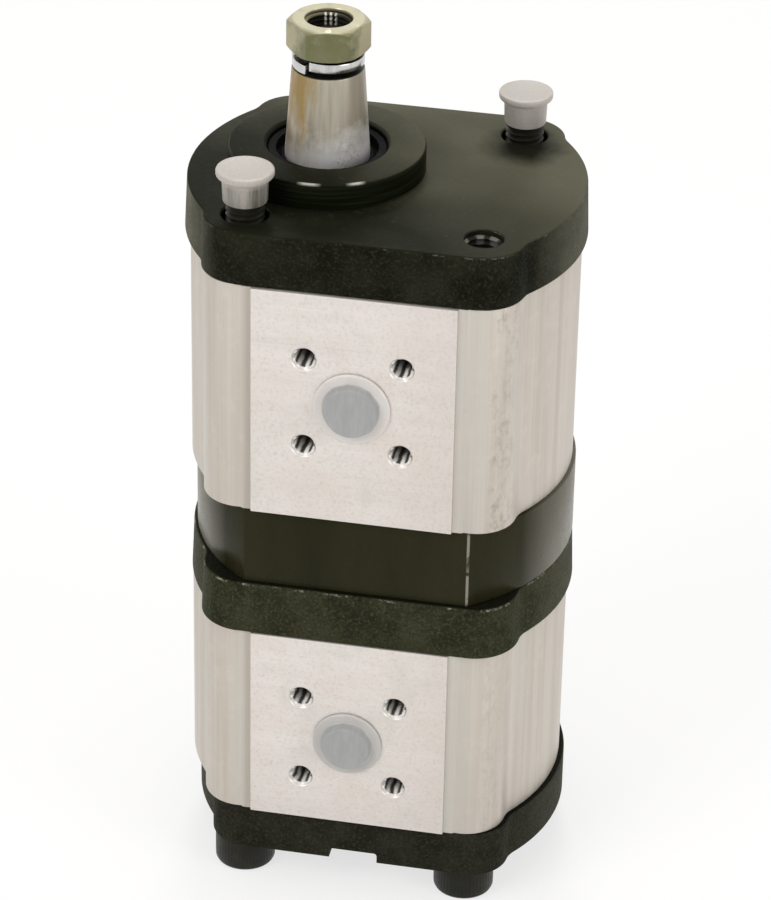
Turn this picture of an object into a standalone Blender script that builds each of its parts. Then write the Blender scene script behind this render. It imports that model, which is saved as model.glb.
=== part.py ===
"""Tandem gear pump: two gear stages on one shaft line, bolted into one stack.

The pump stands on its four screw heads, +Z runs along the shaft, and the
front ports face -Y. All lengths are in metres.
"""

import math

import bmesh
import bpy
from mathutils import Matrix

for old in list(bpy.data.objects):
    bpy.data.objects.remove(old, do_unlink=True)

# Stack of castings, from the screw heads upwards
REAR_COVER_THICKNESS = 0.0132
LOWER_HOUSING_HEIGHT = 0.0558
LOWER_COVER_THICKNESS = 0.0145
INTERMEDIATE_THICKNESS = 0.0218
UPPER_HOUSING_HEIGHT = 0.0640
FLANGE_THICKNESS = 0.0142
PILOT_HEIGHT = 0.0073
PILOT_WALL = 0.0100
PILOT_CHAMFER = 0.0009
JOINT_GAP = 0.0002

# Outlines: walls outside the screw holes, a lobe about each screw, and flat port pads
SCREW_WALL = 0.00135
END_WALL = 0.00737
SIDE_WALL = 0.0110
HOUSING_LOBE_RADIUS = 0.0106
PAD_HALF_WIDTH = 0.0260
PAD_RISE = 0.0010
HOLLOW_RADIUS = 0.0080
FLANGE_OVERHANG_END = 0.0014
FLANGE_OVERHANG_SIDE = 0.0004
FLANGE_LOBE_RADIUS = 0.0110
CASTING_DRAFT = 0.0006
CASTING_EDGE = 0.0005
INTERMEDIATE_SETBACK_END = 0.0002
INTERMEDIATE_SETBACK_SIDE = 0.0008
INTERMEDIATE_SHIFT = 0.0011
LOWER_COVER_OVERHANG_END = 0.0008
LOWER_COVER_OVERHANG_SIDE = 0.0010
LOWER_COVER_LOBE_RADIUS = 0.0120
LOWER_COVER_SHIFT = 0.0006
REAR_COVER_SETBACK_END = 0.0002
REAR_COVER_SETBACK_SIDE = 0.0008
REAR_COVER_LOBE_RADIUS = 0.0102
REAR_COVER_EDGE = 0.0016
REAR_COVER_SHIFT = 0.0016
FOOT_CHANNEL_WIDTH = 0.0130
FOOT_CHANNEL_HEIGHT = 0.0031

# Gears, bearings and shafts
SHAFT_OFFSET = 0.0156
TEETH = 12
PRESSURE_ANGLE = math.radians(25)
BACKLASH = 0.00024
TIP_CLEARANCE = 0.00035
UPPER_GEAR_WIDTH = 0.0240
LOWER_GEAR_WIDTH = 0.0170
JOURNAL_SHOULDER = 0.00148
RUNNING_CLEARANCE = 0.00006
BUSH_WALL = 0.0015
BUSH_SETBACK = 0.0006
BLOCK_CLEARANCE = 0.0003
FIT_GAP = 0.0003

# Drive end
CONE_BASE_STEP = 0.0002
CONE_BASE_HEIGHT = 0.0048
CONE_LENGTH = 0.0235
CONE_TAPER = 1 / 7.4
THREAD_RADIUS = 0.00585
NUT_ACROSS_FLATS = 0.0185
NUT_HEIGHT = 0.0084
NUT_CHAMFER = 0.0013
THREAD_RECESS = 0.0042
WASHER_RADIUS = 0.00915
WASHER_THICKNESS = 0.0025
WASHER_RISE = 0.0013
WASHER_SLIT = math.radians(7)
WASHER_SLIT_AT = math.radians(-114)
KEY_WIDTH = 0.0040
KEY_RADIUS = 0.0075
KEY_PROUD = 0.0022
SEAL_SECTION = 0.0042
SEAL_HEIGHT = 0.0070
SEAL_DEPTH = 0.0030
SNAP_RING_THICKNESS = 0.0012
SNAP_RING_WIDTH = 0.0019
SNAP_RING_GAP = math.radians(40)

# Coupling between the stages
COUPLING_WALL = 0.0047
COUPLING_END_GAP = 0.0025
NECK_STEP = 0.0030
TANG_WIDTH = 0.0070
TANG_SETBACK = 0.0010
STAGE_SEAL_SECTION = 0.0038
STAGE_SEAL_HEIGHT = 0.0060

# Ports: each has a bore, four tapped holes on a square, and a plastic plug
UPPER_PORT_HEIGHT = 0.0334
LOWER_PORT_HEIGHT = 0.0255
UPPER_OUTLET_RADIUS = 0.0076
LOWER_OUTLET_RADIUS = 0.0070
INLET_RADIUS = 0.0096
OUTLET_SCREW_CIRCLE = 0.0350
INLET_SCREW_CIRCLE = 0.0400
PORT_SCREW_RADIUS = 0.0030
PORT_SCREW_DEPTH = 0.0130
PLUG_FLANGE_THICKNESS = 0.0008
PLUG_BOSS_HEIGHT = 0.0022
PLUG_LIP = 0.0022
PLUG_WALL = 0.0011
PLUG_SKIRT = 0.0065

# Body seals between each housing and its covers
SEAL_LAND = 0.0020
SEAL_WIDTH = 0.0020
SEAL_GROOVE_DEPTH = 0.0018

# Screws and thread caps
SCREW_RADIUS = 0.0049
SCREW_HEAD_RADIUS = 0.0080
SCREW_HEAD_HEIGHT = 0.0100
SOCKET_ACROSS_FLATS = 0.0080
SOCKET_DEPTH = 0.0052
SCREW_HOLE_RADIUS = 0.0055
FLANGE_HOLE_RADIUS = 0.0060
TAPPED_HOLE_RADIUS = 0.0046
TAPPED_SCREW_SETBACK = 0.0065
THROUGH_BOLT_END = 0.0095
CAP_FLANGE_RADIUS = 0.0073
CAP_FLANGE_THICKNESS = 0.0018
CAP_HEIGHT = 0.0124
CAP_STANDS_OFF = 0.0039
CAP_TOP_RADIUS = 0.0059
CAP_WALL = 0.0005

ROUND = 32
PLAIN = 16
SHORTEST_EDGE = 0.0003

# Levels of the stack, all measured from the plane under the screw heads
rear_cover_z = SCREW_HEAD_HEIGHT + JOINT_GAP
lower_housing_z = rear_cover_z + REAR_COVER_THICKNESS + JOINT_GAP
lower_cover_z = lower_housing_z + LOWER_HOUSING_HEIGHT + JOINT_GAP
intermediate_z = lower_cover_z + LOWER_COVER_THICKNESS + JOINT_GAP
upper_housing_z = intermediate_z + INTERMEDIATE_THICKNESS + JOINT_GAP
flange_z = upper_housing_z + UPPER_HOUSING_HEIGHT + JOINT_GAP
mounting_face_z = flange_z + FLANGE_THICKNESS

module = 2 * SHAFT_OFFSET / TEETH
tip_radius = SHAFT_OFFSET + module
root_radius = SHAFT_OFFSET - 1.2 * module
bore_radius = tip_radius + TIP_CLEARANCE
seal_reach = bore_radius + SEAL_LAND + SEAL_WIDTH + 2 * FIT_GAP

# The screws stand outside the seal grooves, and the castings close round the screws
screw_x = seal_reach + SCREW_HOLE_RADIUS + SCREW_WALL
end_radius = screw_x * math.sqrt(2) + END_WALL
half_depth = screw_x + SIDE_WALL
pad_y = half_depth + PAD_RISE

journal_radius = root_radius - JOURNAL_SHOULDER
bush_radius = journal_radius + BUSH_WALL
neck_radius = journal_radius - NECK_STEP
tang_length = 2 * (neck_radius - TANG_SETBACK)
coupling_radius = tang_length / 2 + FIT_GAP + COUPLING_WALL
stage_seal_radius = neck_radius + STAGE_SEAL_SECTION
cone_base_radius = journal_radius - CONE_BASE_STEP
seal_radius = cone_base_radius + SEAL_SECTION
pilot_radius = seal_radius + PILOT_WALL

paints = {}


def paint(name, colour, roughness, metallic):
    """Makes a Principled material once and gives it back by name."""
    made = bpy.data.materials.new(name)
    made.use_nodes = True
    shader = made.node_tree.nodes["Principled BSDF"]
    shader.inputs["Base Color"].default_value = (*colour, 1)
    shader.inputs["Roughness"].default_value = roughness
    shader.inputs["Metallic"].default_value = metallic
    made.diffuse_color = (*colour, 1)
    paints[name] = made


paint("black_casting", (0.035, 0.036, 0.027), 0.62, 0.2)
paint("machined_black", (0.045, 0.044, 0.034), 0.4, 0.3)
paint("extruded_aluminium", (0.62, 0.58, 0.53), 0.42, 0.7)
paint("block_aluminium", (0.55, 0.54, 0.50), 0.35, 0.8)
paint("ground_steel", (0.42, 0.40, 0.36), 0.3, 0.9)
paint("spring_steel", (0.62, 0.62, 0.62), 0.22, 1.0)
paint("yellow_zinc", (0.42, 0.37, 0.17), 0.4, 0.7)
paint("black_steel", (0.02, 0.02, 0.02), 0.45, 0.5)
paint("bronze", (0.45, 0.30, 0.14), 0.4, 0.9)
paint("black_rubber", (0.015, 0.015, 0.015), 0.6, 0.0)
paint("milky_plastic", (0.70, 0.66, 0.60), 0.45, 0.0)


def circle(x, y, radius, count, start=0.0):
    """Points of a full circle, counter-clockwise."""
    step = 2 * math.pi / count
    return [
        (x + radius * math.cos(start + i * step), y + radius * math.sin(start + i * step))
        for i in range(count)
    ]


def disc_reach(angle, x, y, radius):
    """How far a ray from the centre runs before it leaves a disc, or None if it misses."""
    along = x * math.cos(angle) + y * math.sin(angle)
    left = radius**2 - (x**2 + y**2 - along**2)
    return None if left < 0 else along + math.sqrt(left)


def envelope(reaches, straight, steps):
    """Outline about the centre that takes the outermost of several forms.

    Each reach is a function of the angle in the first quadrant. The forms
    named in straight get no points between their corners.
    """

    def outermost(angle):
        found = [(reach(angle) or 0.0, name) for name, reach in reaches.items()]
        return max(found)

    fine = 720
    angles = [i * math.pi / 2 / fine for i in range(fine + 1)]
    corners = []
    for low, high in zip(angles, angles[1:]):
        name = outermost(low)[1]
        if outermost(high)[1] == name:
            continue
        for _ in range(40):
            middle = (low + high) / 2
            if outermost(middle)[1] == name:
                low = middle
            else:
                high = middle
        corners.append((low + high) / 2)
    marks = [0.0, *corners, math.pi / 2]
    quarter = []
    for low, high in zip(marks, marks[1:]):
        name = outermost((low + high) / 2)[1]
        share = (high - low) / (math.pi / 2)
        count = 1 if name in straight else max(1, round(share * steps[name]))
        for i in range(count):
            angle = low + (high - low) * max(i, 0.001) / count
            far = reaches[name](angle)
            quarter.append((far * math.cos(angle), far * math.sin(angle)))
    if outermost(math.pi / 2)[1] not in straight:
        quarter.append((0.0, outermost(math.pi / 2)[0]))
    return mirrored(quarter)


def mirrored(quarter):
    """Closes an outline from its first quadrant and drops the points that crowd."""
    upper_half = quarter + [(-x, y) for x, y in reversed(quarter)]
    kept = []
    for point in upper_half + [(-x, -y) for x, y in upper_half]:
        if not kept or math.dist(point, kept[-1]) > SHORTEST_EDGE:
            kept.append(point)
    if math.dist(kept[0], kept[-1]) < SHORTEST_EDGE:
        kept.pop()
    return kept


def hollow(round_end, lobe_radius):
    """Reach of the hollow corner between a round end and a screw lobe."""
    reach = round_end + HOLLOW_RADIUS
    side = lobe_radius + HOLLOW_RADIUS
    lobe_away = screw_x * math.sqrt(2)
    cosine = (reach**2 + lobe_away**2 - side**2) / (2 * reach * lobe_away)
    if cosine >= 1:
        return lambda angle: 0.0
    turn = math.pi / 4 - math.acos(cosine)
    x = reach * math.cos(turn)
    y = reach * math.sin(turn)
    touch_x = screw_x + (x - screw_x) * lobe_radius / side
    touch_y = screw_x + (y - screw_x) * lobe_radius / side
    last = math.atan2(touch_y, touch_x)

    def near_side(angle):
        along = x * math.cos(angle) + y * math.sin(angle)
        left = HOLLOW_RADIUS**2 - (x**2 + y**2 - along**2)
        return along - math.sqrt(left) if turn < angle < last and left > 0 else 0.0

    return near_side


def casting_outline(end_overhang, side_overhang, lobe_radius=0.0, pad=None, shift=0.0):
    """Round-ended block cut flat at the port sides, with screw lobes and port pads."""
    round_end = end_radius + end_overhang

    def block(angle):
        return min(round_end, (half_depth + side_overhang) / max(math.sin(angle), 1e-9))

    def end(angle):
        far = block(angle)
        return far if far == round_end else 0.0

    def flat(angle):
        far = block(angle)
        return far if far != round_end else 0.0

    reaches = {"end": end, "flat": flat}
    if lobe_radius:
        reaches["lobe"] = lambda angle: disc_reach(angle, screw_x, screw_x, lobe_radius)
        reaches["hollow"] = hollow(round_end, lobe_radius)
    if pad:
        half_width, depth = pad
        corner = math.atan2(depth, half_width)
        reaches["pad side"] = lambda angle: half_width / math.cos(angle) if angle < corner else 0.0
        reaches["pad"] = lambda angle: depth / math.sin(angle) if angle >= corner else 0.0
    points = envelope(reaches, ("flat", "pad", "pad side"), {"end": 12, "lobe": 40, "hollow": 36})
    return [(x + shift, y) for x, y in points]


def figure_eight(radius, count=10):
    """Outline of two overlapping circles on the gear axes."""
    return envelope(
        {"bore": lambda angle: disc_reach(angle, SHAFT_OFFSET, 0.0, radius)}, (), {"bore": count}
    )


def capsule(radius, count):
    """Two half circles on the gear axes joined by straight sides."""
    points = []
    for i in range(count + 1):
        turn = -math.pi / 2 + math.pi * i / count
        points.append((SHAFT_OFFSET + radius * math.cos(turn), radius * math.sin(turn)))
    return points + [(-x, -y) for x, y in points]


def inset(points, distance):
    """Moves an outline inwards by a distance, corner by corner."""
    moved = []
    for i, (x, y) in enumerate(points):
        before = points[i - 1]
        after = points[(i + 1) % len(points)]
        one = (y - before[1], before[0] - x)
        two = (after[1] - y, x - after[0])
        one_length = math.hypot(*one)
        two_length = math.hypot(*two)
        nx = one[0] / one_length + two[0] / two_length
        ny = one[1] / one_length + two[1] / two_length
        size = math.hypot(nx, ny)
        reach = distance * 2 / size**2
        moved.append((x - nx * reach, y - ny * reach))
    return moved


def add_loft(bm, sections):
    """Adds a closed solid through outlines of equal count, each at its height."""
    rings = [[bm.verts.new((x, y, z)) for x, y in points] for points, z in sections]
    for lower, upper in zip(rings, rings[1:]):
        for i in range(len(lower)):
            j = (i + 1) % len(lower)
            bm.faces.new((lower[i], lower[j], upper[j], upper[i]))
    bm.faces.new(list(reversed(rings[0])))
    bm.faces.new(rings[-1])


def add_tube(bm, outer, inner, z0, z1):
    """Adds a ring-shaped prism between two outlines of equal count."""
    rings = [
        [bm.verts.new((x, y, z)) for x, y in points]
        for points, z in ((outer, z0), (outer, z1), (inner, z1), (inner, z0))
    ]
    for a in range(4):
        one, two = rings[a], rings[(a + 1) % 4]
        for i in range(len(one)):
            j = (i + 1) % len(one)
            bm.faces.new((one[i], one[j], two[j], two[i]))


def add_turned(bm, profile, segments, place=None, closed=False):
    """Spins a profile of (radius, height) points about Z, top first.

    An open profile starts and ends on the axis. A closed one is a ring.
    """
    rings = []
    for radius, height in profile:
        if radius == 0:
            rings.append([bm.verts.new((0, 0, height))])
        else:
            rings.append([bm.verts.new((x, y, height)) for x, y in circle(0, 0, radius, segments)])
    pairs = list(zip(rings, rings[1:]))
    if closed:
        pairs.append((rings[-1], rings[0]))
    for upper, lower in pairs:
        for i in range(segments):
            j = (i + 1) % segments
            if len(upper) == 1:
                bm.faces.new((upper[0], lower[i], lower[j]))
            elif len(lower) == 1:
                bm.faces.new((upper[i], lower[0], upper[j]))
            else:
                bm.faces.new((upper[i], lower[i], lower[j], upper[j]))
    if place is not None:
        bmesh.ops.transform(bm, matrix=place, verts=[v for ring in rings for v in ring])


def finish(name, bm, colour, place=(0, 0, 0), turn=(0, 0, 0), smooth=True, angle=35):
    """Turns the bmesh into a named object with its material."""
    bmesh.ops.recalc_face_normals(bm, faces=bm.faces)
    mesh = bpy.data.meshes.new(name)
    bm.to_mesh(mesh)
    bm.free()
    if colour:
        mesh.materials.append(paints[colour])
    if smooth:
        mesh.shade_smooth()
        mesh.set_sharp_from_angle(angle=math.radians(angle))
    made = bpy.data.objects.new(name, mesh)
    bpy.context.scene.collection.objects.link(made)
    made.location = place
    made.rotation_euler = turn
    return made


def helper(name, bm, place=(0, 0, 0)):
    """A hidden solid that a Boolean reads."""
    made = finish(name, bm, None, place, smooth=False)
    made.hide_render = True
    made.display_type = "WIRE"
    return made


def combine(target, other, operation="DIFFERENCE"):
    step = target.modifiers.new(other.name, "BOOLEAN")
    step.operation = operation
    step.solver = "EXACT"
    step.object = other


def screw_places():
    return [(sx * screw_x, sy * screw_x) for sx, sy in ((-1, -1), (1, 1), (1, -1), (-1, 1))]


def drill_screw_holes(bm, radius, depth):
    for x, y in screw_places():
        add_loft(bm, [(circle(x, y, radius, PLAIN), -0.001), (circle(x, y, radius, PLAIN), depth + 0.001)])


def square_of(screw_circle):
    return screw_circle / 2 / math.sqrt(2)


def add_port(bm, facing, radius, screw_circle, height):
    """Cuts one port bore and its four tapped holes into a pad."""
    waist = math.sqrt(bore_radius**2 - SHAFT_OFFSET**2)
    side = Matrix.Rotation(math.radians(-90 * facing), 4, "X")
    seat = Matrix.Translation((0, facing * pad_y, height)) @ side
    drop = pad_y - waist / 2
    add_turned(bm, [(0, 0.001), (radius, 0.001), (radius, -drop), (0, -drop)], 24, seat)
    thread = PORT_SCREW_RADIUS * 0.86
    mouth = PORT_SCREW_RADIUS * 1.05
    lead = mouth - thread
    end = -PORT_SCREW_DEPTH
    profile = [(0, lead), (mouth + lead, lead), (thread, -lead), (thread, end), (0, end)]
    half = square_of(screw_circle)
    for sx in (-1, 1):
        for sz in (-1, 1):
            spot = Matrix.Translation((sx * half, facing * pad_y, height + sz * half)) @ side
            add_turned(bm, profile, 10, spot)


def housing(name, height, z, port_height, outlet_radius):
    """Extruded body with the gear bores, screw holes, seal grooves and two ports."""
    outline = casting_outline(0, 0, HOUSING_LOBE_RADIUS, (PAD_HALF_WIDTH, pad_y))
    bm = bmesh.new()
    add_loft(bm, [(outline, 0), (outline, height)])
    made = finish(name, bm, "extruded_aluminium", (0, 0, z))
    bm = bmesh.new()
    add_loft(bm, [(figure_eight(bore_radius), -0.001), (figure_eight(bore_radius), height + 0.001)])
    drill_screw_holes(bm, SCREW_HOLE_RADIUS, height)
    inner = capsule(bore_radius + SEAL_LAND, 8)
    outer = capsule(seal_reach, 8)
    add_tube(bm, outer, inner, -0.001, SEAL_GROOVE_DEPTH)
    add_tube(bm, outer, inner, height - SEAL_GROOVE_DEPTH, height + 0.001)
    combine(made, helper(name + "_bores", bm, (0, 0, z)))
    bm = bmesh.new()
    add_port(bm, -1, outlet_radius, OUTLET_SCREW_CIRCLE, port_height)
    add_port(bm, 1, INLET_RADIUS, INLET_SCREW_CIRCLE, port_height)
    combine(made, helper(name + "_ports", bm, (0, 0, z)))
    return made


def body_seal(name, z):
    inner = capsule(bore_radius + SEAL_LAND + FIT_GAP, 8)
    outer = capsule(bore_radius + SEAL_LAND + FIT_GAP + SEAL_WIDTH, 8)
    bm = bmesh.new()
    add_tube(bm, outer, inner, 0, SEAL_GROOVE_DEPTH - JOINT_GAP)
    return finish(name, bm, "black_rubber", (0, 0, z))


def bearing_block(name, thickness, z):
    """Pressure block that fills the gear bores and carries two bushes."""
    outline = figure_eight(bore_radius - BLOCK_CLEARANCE)
    bm = bmesh.new()
    add_loft(bm, [(outline, 0), (outline, thickness)])
    made = finish(name, bm, "block_aluminium", (0, 0, z))
    bm = bmesh.new()
    for x in (-SHAFT_OFFSET, SHAFT_OFFSET):
        hole = circle(x, 0, bush_radius + FIT_GAP, PLAIN)
        add_loft(bm, [(hole, -0.001), (hole, thickness + 0.001)])
    combine(made, helper(name + "_bores", bm, (0, 0, z)))
    return made


def bush(name, x, length, z):
    bore = (journal_radius + RUNNING_CLEARANCE) / math.cos(math.pi / PLAIN)
    bm = bmesh.new()
    profile = [(bush_radius, length), (bush_radius, 0), (bore, 0), (bore, length)]
    add_turned(bm, profile, PLAIN, closed=True)
    return finish(name, bm, "bronze", (x, 0, z))


def gear_outline(phase):
    """Involute teeth on the pitch circle that both gears share."""
    base = SHAFT_OFFSET * math.cos(PRESSURE_ANGLE)
    involute = math.tan(PRESSURE_ANGLE) - PRESSURE_ANGLE
    half_tooth = math.pi / 2 / TEETH - BACKLASH / 4 / SHAFT_OFFSET
    start = max(root_radius + 0.25 * module, base)
    flank = []
    for i in range(4):
        radius = start + (tip_radius - start) * i / 3
        roll = math.acos(min(1.0, base / radius))
        flank.append((radius, half_tooth + involute - (math.tan(roll) - roll)))
    points = []
    for tooth in range(TEETH):
        centre = phase + 2 * math.pi * tooth / TEETH
        side = [(root_radius, flank[0][1] + 0.035)] + flank
        for radius, angle in side:
            points.append((radius * math.cos(centre - angle), radius * math.sin(centre - angle)))
        for radius, angle in reversed(side):
            points.append((radius * math.cos(centre + angle), radius * math.sin(centre + angle)))
    return points


def add_gear(made, width, z, phase):
    bm = bmesh.new()
    teeth = gear_outline(phase)
    add_loft(bm, [(teeth, z), (teeth, z + width)])
    combine(made, helper(made.name + "_teeth", bm, tuple(made.location)), "UNION")


def tang_outline(gap):
    """Flat driving tongue with round ends."""
    half = TANG_WIDTH / 2 + gap
    reach = tang_length / 2 - TANG_WIDTH / 2
    points = []
    for i in range(7):
        turn = -math.pi / 2 + math.pi * i / 6
        points.append((reach + half * math.cos(turn), half * math.sin(turn)))
    return points + [(-x, -y) for x, y in points]


def stage(name, housing_z, height, port_height, width):
    """Levels of one stage: its gear faces and the blocks on both sides."""
    lower = port_height - width / 2
    return {
        "name": name,
        "gear_z": housing_z + lower,
        "width": width,
        "lower_block": lower - FIT_GAP,
        "upper_block": height - lower - width - FIT_GAP,
        "bottom": housing_z,
        "top": housing_z + height,
    }


upper = stage("upper", upper_housing_z, UPPER_HOUSING_HEIGHT, UPPER_PORT_HEIGHT, UPPER_GEAR_WIDTH)
lower = stage("lower", lower_housing_z, LOWER_HOUSING_HEIGHT, LOWER_PORT_HEIGHT, LOWER_GEAR_WIDTH)

drive_axis = bpy.data.objects.new("drive_axis", None)
upper_idler_axis = bpy.data.objects.new("upper_idler_axis", None)
lower_idler_axis = bpy.data.objects.new("lower_idler_axis", None)
for axis, x in ((drive_axis, -1), (upper_idler_axis, 1), (lower_idler_axis, 1)):
    bpy.context.scene.collection.objects.link(axis)
    axis.location = (x * SHAFT_OFFSET, 0, 0)


def on_axis(made, axis):
    """Hangs a turning piece on its axis, keeping its own height."""
    made.parent = axis
    made.location = (0, 0, made.location[2])


# Front cover: drafted flange with the pilot turned on it
flange_outline = casting_outline(FLANGE_OVERHANG_END, FLANGE_OVERHANG_SIDE, FLANGE_LOBE_RADIUS)
flange_top = inset(flange_outline, CASTING_DRAFT)
bm = bmesh.new()
add_loft(
    bm,
    [
        (flange_outline, 0),
        (flange_top, FLANGE_THICKNESS - CASTING_EDGE),
        (inset(flange_top, CASTING_EDGE), FLANGE_THICKNESS),
    ],
)
front_cover = finish("front_cover", bm, "black_casting", (0, 0, flange_z))
bm = bmesh.new()
pilot_top = FLANGE_THICKNESS + PILOT_HEIGHT
profile = [
    (0, pilot_top),
    (pilot_radius - PILOT_CHAMFER, pilot_top),
    (pilot_radius, pilot_top - PILOT_CHAMFER),
    (pilot_radius, FLANGE_THICKNESS / 2),
    (0, FLANGE_THICKNESS / 2),
]
add_turned(bm, profile, ROUND + 16, Matrix.Translation((-SHAFT_OFFSET, 0, 0)))
combine(front_cover, helper("front_cover_pilot", bm, (0, 0, flange_z)), "UNION")
bm = bmesh.new()
seal_floor = pilot_top - SEAL_DEPTH - SEAL_HEIGHT - FIT_GAP
pocket = seal_radius + FIT_GAP
profile = [
    (0, pilot_top + 0.001),
    (pocket + 0.0016, pilot_top + 0.001),
    (pocket, pilot_top - 0.0006),
    (pocket, seal_floor),
    (journal_radius + 2 * FIT_GAP, seal_floor),
    (journal_radius + 2 * FIT_GAP, -0.001),
    (0, -0.001),
]
add_turned(bm, profile, ROUND, Matrix.Translation((-SHAFT_OFFSET, 0, 0)))
for i, (x, y) in enumerate(screw_places()):
    if i < 2:
        hole = circle(x, y, FLANGE_HOLE_RADIUS, 20)
        add_loft(bm, [(hole, -0.001), (hole, FLANGE_THICKNESS + 0.001)])
        continue
    stop = FLANGE_THICKNESS - TAPPED_SCREW_SETBACK + FIT_GAP
    shank = SCREW_RADIUS + FIT_GAP
    profile = [
        (0, FLANGE_THICKNESS + 0.0004),
        (TAPPED_HOLE_RADIUS + 0.0008, FLANGE_THICKNESS + 0.0004),
        (TAPPED_HOLE_RADIUS, FLANGE_THICKNESS - 0.0004),
        (TAPPED_HOLE_RADIUS, stop),
        (shank, stop - 0.0004),
        (shank, -0.001),
        (0, -0.001),
    ]
    add_turned(bm, profile, PLAIN, Matrix.Translation((x, y, 0)))
combine(front_cover, helper("front_cover_bores", bm, (0, 0, flange_z)))

# Housings with their seals
housing("upper_housing", UPPER_HOUSING_HEIGHT, upper_housing_z, UPPER_PORT_HEIGHT, UPPER_OUTLET_RADIUS)
housing("lower_housing", LOWER_HOUSING_HEIGHT, lower_housing_z, LOWER_PORT_HEIGHT, LOWER_OUTLET_RADIUS)
for level in (upper, lower):
    body_seal(level["name"] + "_rear_body_seal", level["bottom"])
    body_seal(level["name"] + "_front_body_seal", level["top"] - SEAL_GROOVE_DEPTH + JOINT_GAP)

# Intermediate cover: smooth machined plate without screw lobes
bm = bmesh.new()
outline = casting_outline(-INTERMEDIATE_SETBACK_END, -INTERMEDIATE_SETBACK_SIDE, shift=INTERMEDIATE_SHIFT)
add_loft(bm, [(outline, 0), (outline, INTERMEDIATE_THICKNESS)])
intermediate_cover = finish("intermediate_cover", bm, "machined_black", (0, 0, intermediate_z))
bm = bmesh.new()
drill_screw_holes(bm, SCREW_HOLE_RADIUS, INTERMEDIATE_THICKNESS)
hole = circle(-SHAFT_OFFSET, 0, coupling_radius + 2 * FIT_GAP, 24)
add_loft(bm, [(hole, -0.001), (hole, INTERMEDIATE_THICKNESS + 0.001)])
combine(intermediate_cover, helper("intermediate_cover_bores", bm, (0, 0, intermediate_z)))

# Lower front cover: drafted casting with the stage seal pocket
bm = bmesh.new()
outline = casting_outline(
    LOWER_COVER_OVERHANG_END, LOWER_COVER_OVERHANG_SIDE, LOWER_COVER_LOBE_RADIUS, shift=LOWER_COVER_SHIFT
)
add_loft(
    bm,
    [
        (outline, 0),
        (inset(outline, CASTING_DRAFT), LOWER_COVER_THICKNESS - CASTING_EDGE),
        (inset(outline, CASTING_DRAFT + CASTING_EDGE), LOWER_COVER_THICKNESS),
    ],
)
lower_front_cover = finish("lower_front_cover", bm, "black_casting", (0, 0, lower_cover_z))
bm = bmesh.new()
drill_screw_holes(bm, SCREW_HOLE_RADIUS, LOWER_COVER_THICKNESS)
profile = [
    (0, LOWER_COVER_THICKNESS + 0.001),
    (stage_seal_radius + FIT_GAP, LOWER_COVER_THICKNESS + 0.001),
    (stage_seal_radius + FIT_GAP, LOWER_COVER_THICKNESS - STAGE_SEAL_HEIGHT - FIT_GAP),
    (neck_radius + 2 * FIT_GAP, LOWER_COVER_THICKNESS - STAGE_SEAL_HEIGHT - FIT_GAP),
    (neck_radius + 2 * FIT_GAP, -0.001),
    (0, -0.001),
]
add_turned(bm, profile, 20, Matrix.Translation((-SHAFT_OFFSET, 0, 0)))
combine(lower_front_cover, helper("lower_front_cover_bores", bm, (0, 0, lower_cover_z)))

# Rear cover: rounded lower edge and the channel between the feet
bm = bmesh.new()
outline = casting_outline(
    -REAR_COVER_SETBACK_END, -REAR_COVER_SETBACK_SIDE, REAR_COVER_LOBE_RADIUS, shift=REAR_COVER_SHIFT
)
add_loft(
    bm,
    [
        (inset(outline, REAR_COVER_EDGE), 0),
        (inset(outline, REAR_COVER_EDGE * 0.3), REAR_COVER_EDGE * 0.3),
        (outline, REAR_COVER_EDGE),
        (outline, REAR_COVER_THICKNESS),
    ],
)
rear_cover = finish("rear_cover", bm, "black_casting", (0, 0, rear_cover_z))
bm = bmesh.new()
drill_screw_holes(bm, SCREW_HOLE_RADIUS, REAR_COVER_THICKNESS)
low = REAR_COVER_SHIFT - FOOT_CHANNEL_WIDTH / 2
high = REAR_COVER_SHIFT + FOOT_CHANNEL_WIDTH / 2
reach = end_radius + REAR_COVER_LOBE_RADIUS
slope = FOOT_CHANNEL_HEIGHT / 2
channel = [(low - slope, -reach), (high + slope, -reach), (high + slope, reach), (low - slope, reach)]
roof = [(low, -reach), (high, -reach), (high, reach), (low, reach)]
add_loft(bm, [(channel, -0.001), (channel, 0.0), (roof, FOOT_CHANNEL_HEIGHT)])
combine(rear_cover, helper("rear_cover_cuts", bm, (0, 0, rear_cover_z)))

# Bearing blocks and their bushes
for level in (upper, lower):
    for end in ("rear", "front"):
        thickness = level["lower_block"] if end == "rear" else level["upper_block"]
        z = level["bottom"] if end == "rear" else level["top"] - thickness
        bearing_block(f"{level['name']}_{end}_bearing_block", thickness, z)
        length = thickness - 2 * BUSH_SETBACK
        for side, x in (("drive", -SHAFT_OFFSET), ("idler", SHAFT_OFFSET)):
            bush(f"{level['name']}_{end}_{side}_bush", x, length, z + BUSH_SETBACK)

# Driven gears with their journals
for level, axis in ((upper, upper_idler_axis), (lower, lower_idler_axis)):
    down = level["lower_block"] - BUSH_SETBACK
    up = level["width"] + level["upper_block"] - BUSH_SETBACK
    bm = bmesh.new()
    profile = [
        (0, up),
        (journal_radius - 0.0006, up),
        (journal_radius, up - 0.0006),
        (journal_radius, 0.0006 - down),
        (journal_radius - 0.0006, -down),
        (0, -down),
    ]
    add_turned(bm, profile, PLAIN)
    gear = finish(f"{level['name']}_driven_gear", bm, "ground_steel", (SHAFT_OFFSET, 0, level["gear_z"]))
    add_gear(gear, level["width"], 0, math.pi + math.pi / TEETH)
    on_axis(gear, axis)
    bpy.data.objects[gear.name + "_teeth"].parent = axis
    bpy.data.objects[gear.name + "_teeth"].location = gear.location

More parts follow.
